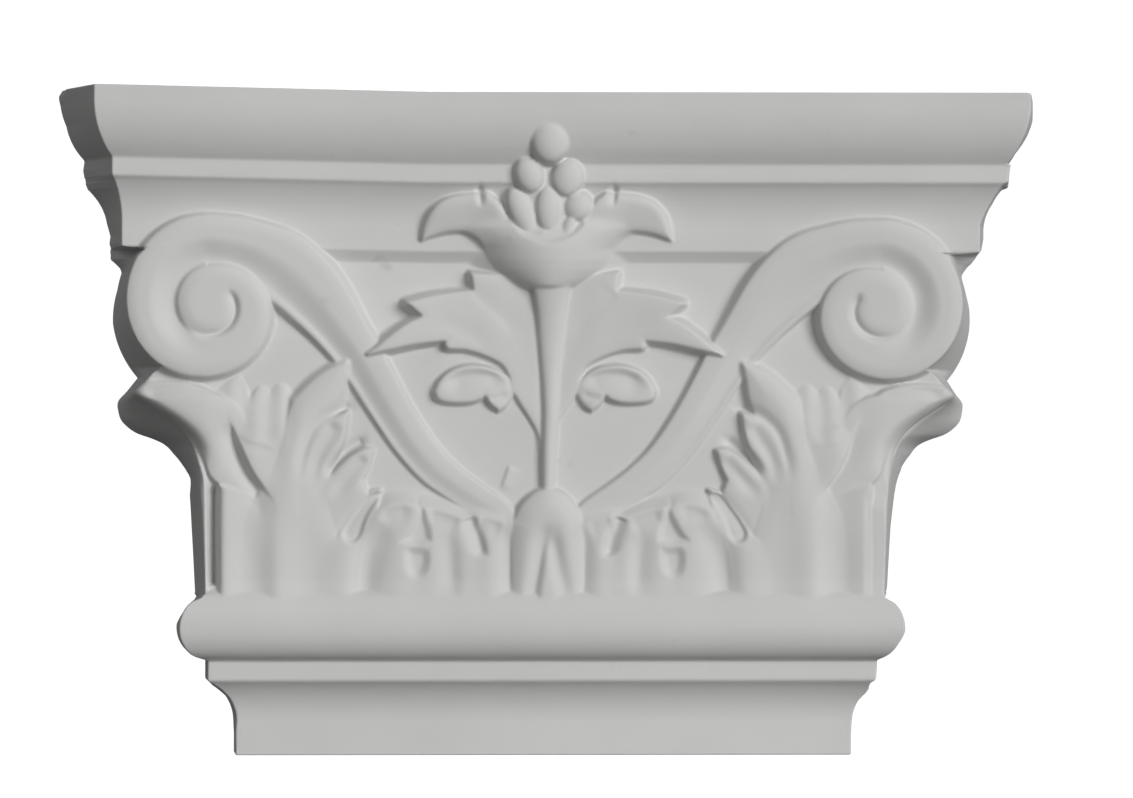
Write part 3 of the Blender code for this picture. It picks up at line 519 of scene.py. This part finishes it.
# Leaf beside the stalk that reaches over the scroll's stem
stemLeaf = {
    "outline": [[(9, 185.2), (18, 185.8), (28.6, 186.2)], [(28.2, 183), (27.6, 179.6)], [(34, 179), (44, 177.4),
        (53.6, 174.6)], [(50, 171.6), (47.4, 169.4)], [(54, 166.2), (61, 161), (65, 157.6), (69, 154.6)],
        [(60, 156.6), (50, 158.8), (38.6, 160.2)], [(38, 157.2), (31, 156.6), (24, 154.6), (17, 151), (14, 146.4),
        (12, 140), (9.4, 135.4), (6.2, 130.4), (3.2, 125), (1, 118)], [(2, 183)]],
    "grooves": [([(27.6, 179.4), (23, 174.6), (16, 168.6), (10, 160)], 0.4, 2.2, 5, (0.1, 0.4)),
        ([(46, 169), (36, 166), (25, 160), (16, 152)], 0.3, 3, 4, (0.3, 0.4))],
}


def carveStemLeaf(sheet):
    def height(x, z):
        # rising from the stalk to pass over the scroll's stem
        return 1.8 + 1.6 * ease((x - 2.5 - 0.08 * (z - 133)) / 19) + 4.2 * ease((x - 20) / 46)
    raiseForm(sheet, stemLeaf["outline"], height, crown=0.4, width=4)
    cutLines(sheet, stemLeaf["grooves"])


# Curled lobe under it, and the tip of the sheath beside the stalk
curledLobe = {
    "outline": [[(4, 128), (8, 136.5), (13, 143.6), (18, 148), (24, 150), (31, 150.2), (37, 148), (41, 144.4),
        (43, 140.4)], [(41.6, 137.2), (37, 136), (30, 136), (25.6, 137.2), (23.4, 139)], [(21, 135.4),
        (18, 132.8)], [(15, 135), (12.2, 139.4)], [(9.6, 135.6), (6.4, 130.6), (3.4, 125), (1, 118)],
        [(2.5, 118)]],
    "grooves": [([(15, 142), (20, 145.6), (26, 146.8), (32, 146), (37, 143.4), (40, 141)], 1.7, 2.2, 4.6, (0.25, 0.3)),
        ([(14, 139.4), (17, 138.4), (20.4, 137.6), (22.6, 139)], 0.6, 1.5, 1.5, (0.3, 0.3))],
    "sheath": [(17.4, 102), (15.8, 106.5), (14, 111.6)],
}


def carveCurledLobe(sheet):
    raiseForm(sheet, curledLobe["outline"], lambda x, z: 0.6 + 3.6 * ease((x - 5) / 18),
              crown=0.5, width=2.5, wall=4.0, blend=0.8)
    cutLines(sheet, curledLobe["grooves"])
    onSide(sheet, sheet["left"], lambda: raiseStep(sheet, curledLobe["sheath"], 1.0, 0.8, 3.5, (0.3, 0.1)))


# Stalk, and the flower on it with its berries
stalk = {
    "z": (96, 104, 112, 133, 145, 160, 170, 178, 186),
    "centre": (0.8, 0.6, 0.8, 1.5, 1.5, 1.7, 1.7, 1.6, 1.4),
    "half": (2.6, 2.6, 2.8, 3.0, 3.6, 5.0, 5.6, 6.4, 8.5),
    "crest": (4.2, 4.2, 4.6, 4.8, 4.8, 5.2, 6.2, 7.8, 9.4),
}
flower = {
    "cup": {"centre": 0.6, "z": (178.5, 181, 184, 187.5, 191.5, 196, 200, 204, 209, 214),
        "half": (6, 10.5, 15.5, 20, 23.2, 25.6, 30, 37, 40, 40),
        "crest": (8.6, 10.4, 12.0, 13.4, 14.4, 14.8, 14.4, 12.8, 9.4, 4.0)},
    "petal": [[(22, 194), (26, 199.2), (31, 202.4), (37, 202.6), (43, 201.4), (48.6, 199.4)], [(47.8, 204),
        (45.4, 209.6), (41.4, 213.8), (36, 216.2), (29, 217.2), (23, 217.4)], [(19, 213.8), (15.6, 208.6),
        (12.4, 203), (6, 197), (0, 193)], [(12, 190)]],
    "notch": [(26.6, 219), (26, 215), (25.6, 211.5)],
    "mouth": [[(-8, 200.4), (0.6, 198), (9, 200.4), (14, 205)], [(10, 230), (-9, 230), (-13, 205)]],
    # across, up, width, height, height of the seat and of the dome, lean to the left
    "berries": [(0.2, 214, 24, 38, 6.4, 4.6, 0), (0.9, 237.8, 14.6, 17.4, 15.2, 4.8, 0),
        (-7, 224.6, 11.4, 14, 11.2, 4.2, 0.12), (7.8, 223.4, 12.4, 14.4, 11.2, 4, -0.05),
        (-10, 210.4, 10.4, 18, 9.2, 3.8, 0.32), (0.2, 211.4, 9.6, 17, 10.4, 3.6, 0),
        (12, 212.4, 10.6, 11.4, 9.4, 3.6, -0.05), (8.4, 204.4, 5, 11, 9.2, 2.6, -0.30),
        (-1.6, 201.2, 7, 5, 9.6, 2.4, 0), (3.4, 199, 5.4, 4, 9.8, 2.2, 0)],
}


def carveStalk(sheet):
    # half an ellipse across
    window, x, z = between(sheet, (-18, 92), (18, 188))
    centre, half, crest = (np.interp(z, stalk["z"], stalk[name]) for name in ("centre", "half", "crest"))
    off = np.abs(x - centre)
    form = crest - 3.0 + 3.0 * np.sqrt(np.clip(1 - (off / half) ** 2, 0, 1)) - 4.0 * np.maximum(off - half, 0)
    lay(sheet, window, form, 0.8)


def carveFlower(sheet):
    # the cup is a trumpet that falls from its crest by (x / half) squared
    cup = flower["cup"]
    window, x, z = between(sheet, (-44, 176), (44, 214))
    half, crest = (np.interp(z, cup["z"], cup[name]) for name in ("half", "crest"))
    off = np.abs(x - cup["centre"]) / half
    form = 2.0 + (crest - 2.0) * np.clip(1 - off * off, 0, 1) - 12.0 * np.maximum(off - 0.99, 0)
    lay(sheet, window, form - 1.6 * np.maximum(181.5 - z, 0), 1.0)

    def rise(x, z):
        # the petal leans out most along its upper edge, and sinks into the cup
        lean = 4.6 + 3.4 * ease((z - 200) / 15) + 2.2 * (1 - ease((x - 12) / 20))
        return lean - 4.0 * ease((201 - z) / 8) * (1 - ease((x - 22) / 8))
    mirrored = dict(sheet, x=np.abs(sheet["x"]))
    raiseForm(mirrored, flower["petal"], rise, crown=0.9, width=3.0, wall=3.5, blend=1.6)
    cutLine(mirrored, flower["notch"], 1.8, 0.9, 1.5, (0.01, 0.6))
    cutForm(sheet, flower["mouth"], 2.0, 2.5)
    # each berry is an ellipsoid on its seat, leaned over
    for across, up, width, high, seat, dome, lean in flower["berries"]:
        window, x, z = between(sheet, (across - high, up - high), (across + high, up + high))
        off = np.hypot((x - across + lean * (z - up)) * 2 / width, (z - up) * 2 / high)
        form = seat + dome * np.sqrt(np.clip(1 - off * off, 0, 1)) - 2.0 * width * np.maximum(off - 1, 0)
        lay(sheet, window, form, 0.4)


# Crests and hollows across the feet of the leaves
footFlutes = ((0, 0), (9, 0), (14, -0.8), (21, 0.8), (26.5, 0.2), (32, 0.7), (37, -0.8), (44, 0.8), (50, 0.3),
    (56, 0.9), (64, -0.3), (70, -1), (78.5, 0.9), (90, -0.9), (103.5, 0.9), (114, -1), (126, 0.6), (128, 0))


def carvedSheet(x, z):
    # depth of the front: the moulded body with each form raised or cut
    mouldings = moulded(z, body["depth"])
    across = np.abs(x) * sheetScale
    # the ground rises at the lower corners and sinks under the scrolls
    ground = body["ground"] + (body["depth"]["bell"] - body["ground"]) * ease((across - 124) / 6) * ease((130 - z) / 20)
    ground = ground - 2.4 * ease((z - 148) / 36)
    meeting = level["bellFoot"] - 6     # from here up the bell meets the torus
    onBell = (z > meeting) & (z <= level["faceFoot"])
    depth = np.where(onBell, ground + (body["depth"]["face"] - ground) * abacusShare(z), mouldings)
    up = sheetLevel + (z - sheetLevel) * sheetScale
    sheet = {"x": across, "z": up, "h": depth - body["ground"], "left": x < 0}
    for carve in (carveCornerLow, carveScroll, carveCornerTip, carveTallLeaf, carveLowLeaf, carveStemLeaf,
                  carveCurledLobe):
        carve(sheet)
    # the feet of the leaves flare forward over soft flutes
    places, heights = smoothLine(footFlutes).T
    flutes = np.interp(sheet["x"], places, heights, right=0)
    flare = 0.8 * ease((68 - up) / 7) + 0.35 * flutes * ease((90 - up) / 16)
    sheet["h"] += flare * ease(sheet["h"] - 1)
    sheet["x"] = (x - body["flowerShift"]) * sheetScale
    for carve in (carveBud, carveStalk, carveFlower):
        carve(sheet)
    carved = body["ground"] + sheet["h"]
    below = np.where(z > meeting, softMax(carved, mouldings, 0.8), mouldings)
    return np.where(z > level["bellFoot"] + 4, carved, below)


def bellCurve(values, sigma, axis):
    # blur by a bell curve, sigma in steps of the grid
    reach = np.arange(-math.ceil(3 * sigma), math.ceil(3 * sigma) + 1)
    weight = np.exp(-0.5 * (reach / sigma) ** 2)
    weight /= weight.sum()
    size = values.shape[axis]
    margin = [(0, 0), (0, 0)]
    margin[axis] = (len(reach) // 2, len(reach) // 2)
    padded = np.pad(values, margin, mode="edge")
    return sum(share * padded.take(np.arange(i, i + size), axis=axis) for i, share in enumerate(weight))


# The carving is worked out once on an even grid, softened, and read from there
carveStep = 0.28
carveOrigin, carveEnd = (-182.0, -2.0), (182.0, 257.0)
gridX, gridZ = np.meshgrid(*(np.arange(low, high, carveStep) for low, high in zip(carveOrigin, carveEnd)))
carvedDepth = carvedSheet(gridX, np.clip(gridZ, 0, level["top"]))
for axis in (0, 1):
    carvedDepth = bellCurve(carvedDepth, body["blur"] / carveStep, axis)
print("carving worked out")


def gridPlace(place, origin, count):
    # the grid step before each place, and the share from there on
    place = (place - origin) / carveStep
    first = np.clip(place.astype(int), 1, count - 3)
    return first, np.clip(place - first, 0, 1)


def frontDepth(x, rows):
    # the grid read at the rows' heights, then at every x of each row
    i, t = gridPlace(rows, carveOrigin[1], carvedDepth.shape[0])
    lines = cubic(*(carvedDepth[i + k] for k in (-1, 0, 1, 2)), t[:, None])
    i, t = gridPlace(x, carveOrigin[0], carvedDepth.shape[1])
    return cubic(*(np.take_along_axis(lines, i + k, axis=1) for k in (-1, 0, 1, 2)), t)


# Side outlines of the bell, as height and half width: the bell's flare, then the horn
sides = {
    "front": ((61, 132.3), (80, 133), (100, 134), (112, 135.6), (118, 137.2), (122, 139.4), (126, 143),
        (130, 148.2), (134, 154.4), (138.6, 160), (143, 156), (147.5, 151.5), (150, 146)),
    "shoulder": ((181, 160), (184, 162.9), (186, 163), (188, 164.5), (190, 166.6), (192, 168.2), (194, 169.3),
        (196, 170.2)),
    "wall": ((61, 136.5), (85, 138), (104, 139.5), (110, 142), (115, 144.5), (119, 148), (121.5, 153), (124, 160),
        (128, 165), (132, 166.6), (136, 166.6), (140, 163), (146, 158), (150, 154)),
}


def halfWidth(z, flare, spread):
    # half width of the front at height z, or of the wall side where the spread is 1
    values = {name: half + body["spread"][name] * spread for name, half in body["half"].items()}
    up = sheetLevel + (z - sheetLevel) * sheetScale
    heights, halves = smoothLine(flare, 4).T
    side = np.interp(up, heights, halves)
    turns = np.linspace(0, 0.5, 90)
    radius = np.maximum(scrollRadius(turns) + scroll["backSpread"] * spread, scroll["backRadius"] * spread)
    arcZ = scroll["centre"][1] - scroll["backDrop"] * spread + radius * np.cos(2 * math.pi * turns)
    arcX = scroll["centre"][0] + radius * np.sin(2 * math.pi * turns)
    roll = np.interp(up, arcZ[::-1], arcX[::-1], left=0, right=0)
    bell = np.maximum(side, roll) / sheetScale
    high = level["faceFoot"]
    mouldings = moulded(np.where(z > level["bellTop"], np.maximum(z, high + 1.5), z), values)
    # in front the abacus starts over a sloping underside, at the wall it grows from the bell
    low = high - 1.2
    if spread > 0:
        heights, halves = np.array(sides["shoulder"]).T
        bell = np.maximum(bell, np.interp(z, heights, halves, left=0))
        low, high = heights[-1] - 3.0, heights[-1]
    share = ease((z - low) / (high - low))
    return np.where(z > level["bellFoot"], bell + (mouldings - bell) * share, moulded(z, values))


def rowHeights():
    # every grid step, and closer round each arris
    rows = set(np.round(np.arange(0, level["top"], body["gridStep"]), 3))
    for arris in level.values():
        rows.update(np.round(arris + np.linspace(-0.9, 0.9, 9), 3))
    rows.update(np.round(np.linspace(0, 0.9, 6), 3))
    rows = np.array(sorted(r for r in rows if 0 <= r <= level["top"]))
    return rows[np.concatenate([[True], np.diff(rows) > 0.04])]


def crowded(t, amount):
    # steps from 0 to 1, closer together towards 1
    return t + amount * np.sin(math.pi * t) * t


def columnPlaces(half):
    # upright lines in the core, then spread to the row's half width, closest at the corners
    share = np.linspace(-1, 1, round(2 * body["half"]["face"] / body["gridStep"]))[None, :]
    outer = crowded(np.clip((np.abs(share) - body["coreShare"]) / (1 - body["coreShare"]), 0, 1), 0.12)
    core = body["coreHalf"]
    return core * np.clip(share / body["coreShare"], -1, 1) + np.sign(share) * outer * (half - core)


def roundOff(distance, radius):
    # how far a quarter round sets the surface back, this far from its sharp corner
    t = np.clip(1 - distance / radius, 0, 1)
    return radius * (1 - np.sqrt(1 - t * t))


def readTable(name, rows):
    # a table by height, as one value for each row
    return np.interp(rows, *np.array(body[name]).T)[:, None]


def capitalSurface():
    # points of the front and the returns, row by row from the foot
    rows = rowHeights()
    radius, longer, lean = (readTable(name, rows) for name in ("cornerRound", "longerRight", "lean"))
    ends = roundOff(np.minimum(rows, level["top"] - rows), body["endRound"])[:, None]
    front, wall = (halfWidth(rows, sides[name], spread)[:, None] for name, spread in (("front", 0.0), ("wall", 1.0)))
    x = columnPlaces(front)
    edge = front - np.abs(x)
    # the abacus runs further to the right in front, which all but hides its return
    x = x + longer * np.clip((x - body["coreHalf"]) / (front - body["coreHalf"]), 0, 1)
    shift = body["abacusShift"] * abacusShare(rows)[:, None]
    x = x + shift + lean
    depth = frontDepth(x, rows) - roundOff(edge, radius)
    climb = crowded(np.linspace(0, 1, body["wallSteps"], endpoint=False), 0.10)[None, :]
    sideX, sideDepth = [], []
    for sign, name in ((-1, "leftReach"), (1, "rightReach")):
        corner, reach = (side[:, :1] if sign < 0 else side[:, -1:] for side in (x, depth))
        out = wall - front + readTable(name, rows) - (longer if sign > 0 else 0)
        sideX.append(corner + sign * (out * (1 - climb) - roundOff((reach + radius) * (1 - climb), radius)))
        sideDepth.append(reach * climb)
    x = np.hstack([sideX[0], x, sideX[1][:, ::-1]])
    depth = np.hstack([sideDepth[0], depth, sideDepth[1][:, ::-1]])
    centre = shift + lean
    x = centre + (x - centre) * (1 - ends / np.abs(front))
    # worn right end and chipped left end of the top
    top = level["top"] - rows[:, None]
    x = x - roundOff(top, body["wornEnd"]) * ease((x - 160) / 30)
    x = x + body["chip"] * np.exp(-(top / 2.0) ** 2) * ease((-x - 176) / 10) * ease((16 - depth) / 12)
    depth = np.maximum(depth - ends * np.clip(depth / 10, 0, 1), 0)
    z = np.repeat(rows[:, None], x.shape[1], axis=1)
    # the casting is bent up towards its upper left corner
    out = np.clip((-x - 0.25 * body["half"]["top"]) / (0.8 * body["half"]["top"]), 0, 1)
    up = np.clip((z - 0.4 * level["top"]) / (0.43 * level["top"]), 0, 1)
    return np.stack([x, wallY - depth, z + body["leftRise"] * out * up], axis=-1) * millimetre


def placed(name, data):
    thing = bpy.data.objects.new(name, data)
    bpy.context.collection.objects.link(thing)
    return thing


def smoothShaded(mesh):
    mesh.shade_smooth()
    mesh.set_sharp_from_angle(angle=math.radians(body["sharpAngle"]))


def finelyCarved():
    # every point of the surface, open at the back
    points = capitalSurface()
    rowCount, columnCount, _ = points.shape
    index = np.arange(rowCount * columnCount).reshape(rowCount, columnCount)
    quads = np.stack([index[:-1, :-1], index[:-1, 1:], index[1:, 1:], index[1:, :-1]], axis=-1).reshape(-1, 4)
    # bed and seat run back to the wall, one strip for each column
    steps = body["wallSteps"]
    vertices = [points.reshape(-1, 3)]
    faces = [tuple(quad) for quad in quads.tolist()]
    start = rowCount * columnCount
    for row, sense in ((index[-1], 1), (index[0], -1)):
        inner = row[steps:columnCount - steps]
        behind = points.reshape(-1, 3)[inner].copy()
        behind[:, 1] = wallY * millimetre
        back = start + np.arange(len(inner))
        start += len(inner)
        vertices.append(behind)
        strips = np.stack([inner[:-1], inner[1:], back[1:], back[:-1]], axis=-1)[:, ::sense].tolist()
        faces += [tuple(strip) for strip in strips]
        faces.append(tuple((row[:steps + 1].tolist() + [int(back[0])])[::sense]))
        faces.append(tuple(([int(back[-1])] + row[columnCount - steps - 1:].tolist())[::sense]))
    mesh = bpy.data.meshes.new("finelyCarved")
    mesh.from_pydata(np.vstack(vertices).tolist(), [], faces)
    smoothShaded(mesh)
    return placed("finelyCarved", mesh), 2.0 * len(quads)


def evaluatedMesh(holder):
    return bpy.data.meshes.new_from_object(holder.evaluated_get(bpy.context.evaluated_depsgraph_get()))


def closeBack(mesh):
    # the flat back closes the rest at the wall
    work = bmesh.new()
    work.from_mesh(mesh)
    rim = [edge for edge in work.edges if edge.is_boundary]
    for edge in rim:
        for corner in edge.verts:
            corner.co.y = wallY * millimetre
    backFace = bmesh.ops.contextual_create(work, geom=rim)["faces"]
    bmesh.ops.triangulate(work, faces=backFace, ngon_method="EAR_CLIP")
    bmesh.ops.recalc_face_normals(work, faces=work.faces[:])
    work.to_mesh(mesh)
    work.free()
    smoothShaded(mesh)


def readAll(items, name, width, kind=np.float32):
    values = np.empty((len(items), width), kind)
    items.foreach_get(name, values.ravel())
    return values


def fineNormals(capital, fine):
    # shading follows the fine surface, and is square to the wall on the back
    transfer = capital.modifiers.new("fine normals", "DATA_TRANSFER")
    transfer.object = fine
    transfer.use_loop_data = True
    transfer.data_types_loops = {"CUSTOM_NORMAL"}
    transfer.loop_mapping = "POLYINTERP_NEAREST"
    shaded = evaluatedMesh(capital)
    capital.modifiers.clear()
    normals = readAll(shaded.corner_normals, "vector", 3)
    bpy.data.meshes.remove(shaded)
    mesh = capital.data
    flat = np.repeat(readAll(mesh.polygons, "normal", 3), 3, axis=0)
    # a long triangle at the foot of a form keeps its own normal, or it shows as a streak
    corners = readAll(mesh.loops, "vertex_index", 1, np.int32)[:, 0]
    triangles = readAll(mesh.vertices, "co", 3)[corners].reshape(-1, 3, 3)
    longest = np.repeat(np.linalg.norm(triangles - np.roll(triangles, 1, axis=1), axis=2).max(axis=1), 3)
    agree = (normals * flat).sum(axis=1)
    streak = (longest > body["longEdge"] * millimetre) & (agree < math.cos(math.radians(body["streakAngle"])))
    onBack = flat[:, 1] > 0.9
    normals = np.where((streak | onBack)[:, None], flat, normals)
    mesh.normals_split_custom_set(normals.tolist())


def buildCapital():
    fine, count = finelyCarved()
    triangulate = fine.modifiers.new("triangles", "TRIANGULATE")
    triangulate.quad_method = "SHORTEST_DIAGONAL"
    thin = fine.modifiers.new("fewer triangles", "DECIMATE")
    thin.ratio = min(1.0, body["triangles"] / count)
    mesh = evaluatedMesh(fine)
    fine.modifiers.clear()
    mesh.name = "capitalCarved"
    closeBack(mesh)
    capital = placed("capitalCarved", mesh)
    fineNormals(capital, fine)
    leftOver = fine.data
    bpy.data.objects.remove(fine)
    bpy.data.meshes.remove(leftOver)
    print("capital carved:", len(mesh.polygons), "triangles")
    return capital


# Plaster: matte, pale and faintly blotched, with a fine grain
plaster = {
    "light": (0.655, 0.655, 0.648),
    "dark": (0.625, 0.625, 0.617),
    "smudge": (0.55, 0.55, 0.54),
    "roughness": 0.88,
    "specular": 0.2,
    # scale and detail of each noise, and its range
    "blotches": (16.0, 6.0, 0.34, 0.62),
    "smudges": (60.0, 3.0, 0.70, 0.80),
    # the same, then height in metres and strength
    "grain": (1100.0, 3.0, 0.00005, 0.6),
    "wear": (120.0, 2.0, 0.00010, 0.5),
}


def makePlaster():
    material = bpy.data.materials.new("castPlaster")
    material.use_nodes = True
    nodes, links = material.node_tree.nodes, material.node_tree.links
    shader = nodes["Principled BSDF"]
    shader.inputs["Roughness"].default_value = plaster["roughness"]
    shader.inputs["Specular IOR Level"].default_value = plaster["specular"]
    place = nodes.new("ShaderNodeTexCoord")

    def noise(scale, detail):
        node = nodes.new("ShaderNodeTexNoise")
        node.inputs["Scale"].default_value = scale
        node.inputs["Detail"].default_value = detail
        links.new(place.outputs["Object"], node.inputs["Vector"])
        return node

    def ramp(layer, first, last):
        scale, detail, low, high = plaster[layer]
        node = nodes.new("ShaderNodeValToRGB")
        for element, position, colour in zip(node.color_ramp.elements, (low, high), (first, last)):
            element.position, element.color = position, (*colour, 1)
        links.new(noise(scale, detail).outputs["Fac"], node.inputs["Fac"])
        return node

    def bump(layer):
        scale, detail, height, strength = plaster[layer]
        node = nodes.new("ShaderNodeBump")
        node.inputs["Distance"].default_value = height
        node.inputs["Strength"].default_value = strength
        links.new(noise(scale, detail).outputs["Fac"], node.inputs["Height"])
        return node

    blotch = ramp("blotches", plaster["dark"], plaster["light"])
    # rare small smudges, where a finer noise peaks
    smudge = ramp("smudges", (0, 0, 0), (1, 1, 1))
    soiled = nodes.new("ShaderNodeMix")
    soiled.data_type = "RGBA"
    links.new(smudge.outputs["Color"], soiled.inputs["Factor"])
    links.new(blotch.outputs["Color"], soiled.inputs["A"])
    soiled.inputs["B"].default_value = (*plaster["smudge"], 1)
    links.new(soiled.outputs["Result"], shader.inputs["Base Color"])
    grain, wear = bump("grain"), bump("wear")
    links.new(grain.outputs["Normal"], wear.inputs["Normal"])
    links.new(wear.outputs["Normal"], shader.inputs["Normal"])
    return material


capital = buildCapital()
capital.data.materials.append(makePlaster())
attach(capital, "root")
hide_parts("capital")
print("plaster laid on")


# Studio: a broad soft key from the right, with pale floor and surroundings
studio = {
    "floorSize": 40.0,
    "floorColour": (0.30, 0.30, 0.30),
    "floorGlow": 1.0,
    "keyTurn": 33.0,        # degrees to the right of the front
    "keyRise": 10.0,
    "keySize": 34.0,        # degrees across
    "keyPower": 2.85,
    "fillTurn": -65.0,
    "fillRise": 42.0,
    "fillSize": 60.0,
    "fillPower": 0.35,
    "ambient": 0.09,
    "backdrop": 1.05,
}


def seenOnly(nodes, links, hidden, seen):
    # one shader for the light it gives, another for how it looks to the camera
    path, mix = nodes.new("ShaderNodeLightPath"), nodes.new("ShaderNodeMixShader")
    links.new(path.outputs["Is Camera Ray"], mix.inputs["Fac"])
    links.new(hidden, mix.inputs[1])
    links.new(seen, mix.inputs[2])
    return mix.outputs["Shader"]


def makeFloor():
    half = studio["floorSize"]
    mesh = bpy.data.meshes.new("floor")
    corners = [(-half, -half, 0), (half, -half, 0), (half, half, 0), (-half, half, 0)]
    mesh.from_pydata(corners, [], [(0, 1, 2, 3)])
    floor = placed("floor", mesh)
    material = bpy.data.materials.new("paleFloor")
    material.use_nodes = True
    nodes, links = material.node_tree.nodes, material.node_tree.links
    nodes.clear()
    plain, glow, both = (nodes.new(kind) for kind in ("ShaderNodeBsdfDiffuse", "ShaderNodeEmission",
                                                      "ShaderNodeAddShader"))
    plain.inputs["Color"].default_value = (*studio["floorColour"], 1)
    glow.inputs["Strength"].default_value = studio["floorGlow"]
    links.new(plain.outputs["BSDF"], both.inputs[0])
    links.new(glow.outputs["Emission"], both.inputs[1])
    output = nodes.new("ShaderNodeOutputMaterial")
    links.new(seenOnly(nodes, links, plain.outputs["BSDF"], both.outputs["Shader"]), output.inputs["Surface"])
    mesh.materials.append(material)


def makeSun(name, turn, rise, size, power):
    light = bpy.data.lights.new(name, "SUN")
    light.energy = power
    light.angle = math.radians(size)
    sun = placed(name, light)
    turn, rise = math.radians(turn), math.radians(rise)
    toLight = Vector((math.sin(turn) * math.cos(rise), -math.cos(turn) * math.cos(rise), math.sin(rise)))
    sun.rotation_euler = toLight.to_track_quat("Z", "Y").to_euler()


def makeSurroundings():
    world = bpy.data.worlds.new("surroundings")
    bpy.context.scene.world = world
    world.use_nodes = True
    nodes, links = world.node_tree.nodes, world.node_tree.links
    nodes.clear()
    shaders = []
    for strength in (studio["ambient"], studio["backdrop"]):
        node = nodes.new("ShaderNodeBackground")
        node.inputs["Strength"].default_value = strength
        node.inputs["Color"].default_value = (1, 1, 1, 1)
        shaders.append(node.outputs["Background"])
    output = nodes.new("ShaderNodeOutputWorld")
    links.new(seenOnly(nodes, links, *shaders), output.inputs["Surface"])


makeFloor()
for lamp in ("key", "fill"):
    makeSun(lamp, *(studio[lamp + measure] for measure in ("Turn", "Rise", "Size", "Power")))
makeSurroundings()
bpy.context.scene.view_settings.view_transform = "Standard"
print("studio lit")


# Camera: nearly level and a little to the left, at portrait distance
view = {
    "photoWidth": 1133,     # in pixels, as are the places below
    "sensor": 36.0,
    "mmPerPixel": 0.3893,   # at the wall
    "axisPixel": 540.8,
    "basePixel": 752.0,
    "middlePixel": (566.5, 399.0),
    "distance": 3.5,
    "turn": -1.7,
    "eyeHeight": 0.110,
}


def makeCamera():
    camera = bpy.data.cameras.new("photograph")
    scale = view["mmPerPixel"] * millimetre
    camera.sensor_width = view["sensor"]
    camera.lens = view["sensor"] * view["distance"] / (view["photoWidth"] * scale)
    camera.clip_end = 100.0
    taker = placed("photograph", camera)
    middleX, middleY = view["middlePixel"]
    wall = wallY * millimetre
    target = Vector(((middleX - view["axisPixel"]) * scale, wall, (view["basePixel"] - middleY) * scale))
    turn = math.radians(view["turn"])
    place = Vector((view["distance"] * math.sin(turn), wall - view["distance"] * math.cos(turn), view["eyeHeight"]))
    taker.location = place
    taker.rotation_euler = (target - place).to_track_quat("-Z", "Y").to_euler()
    bpy.context.scene.camera = taker


makeCamera()
print("camera placed")
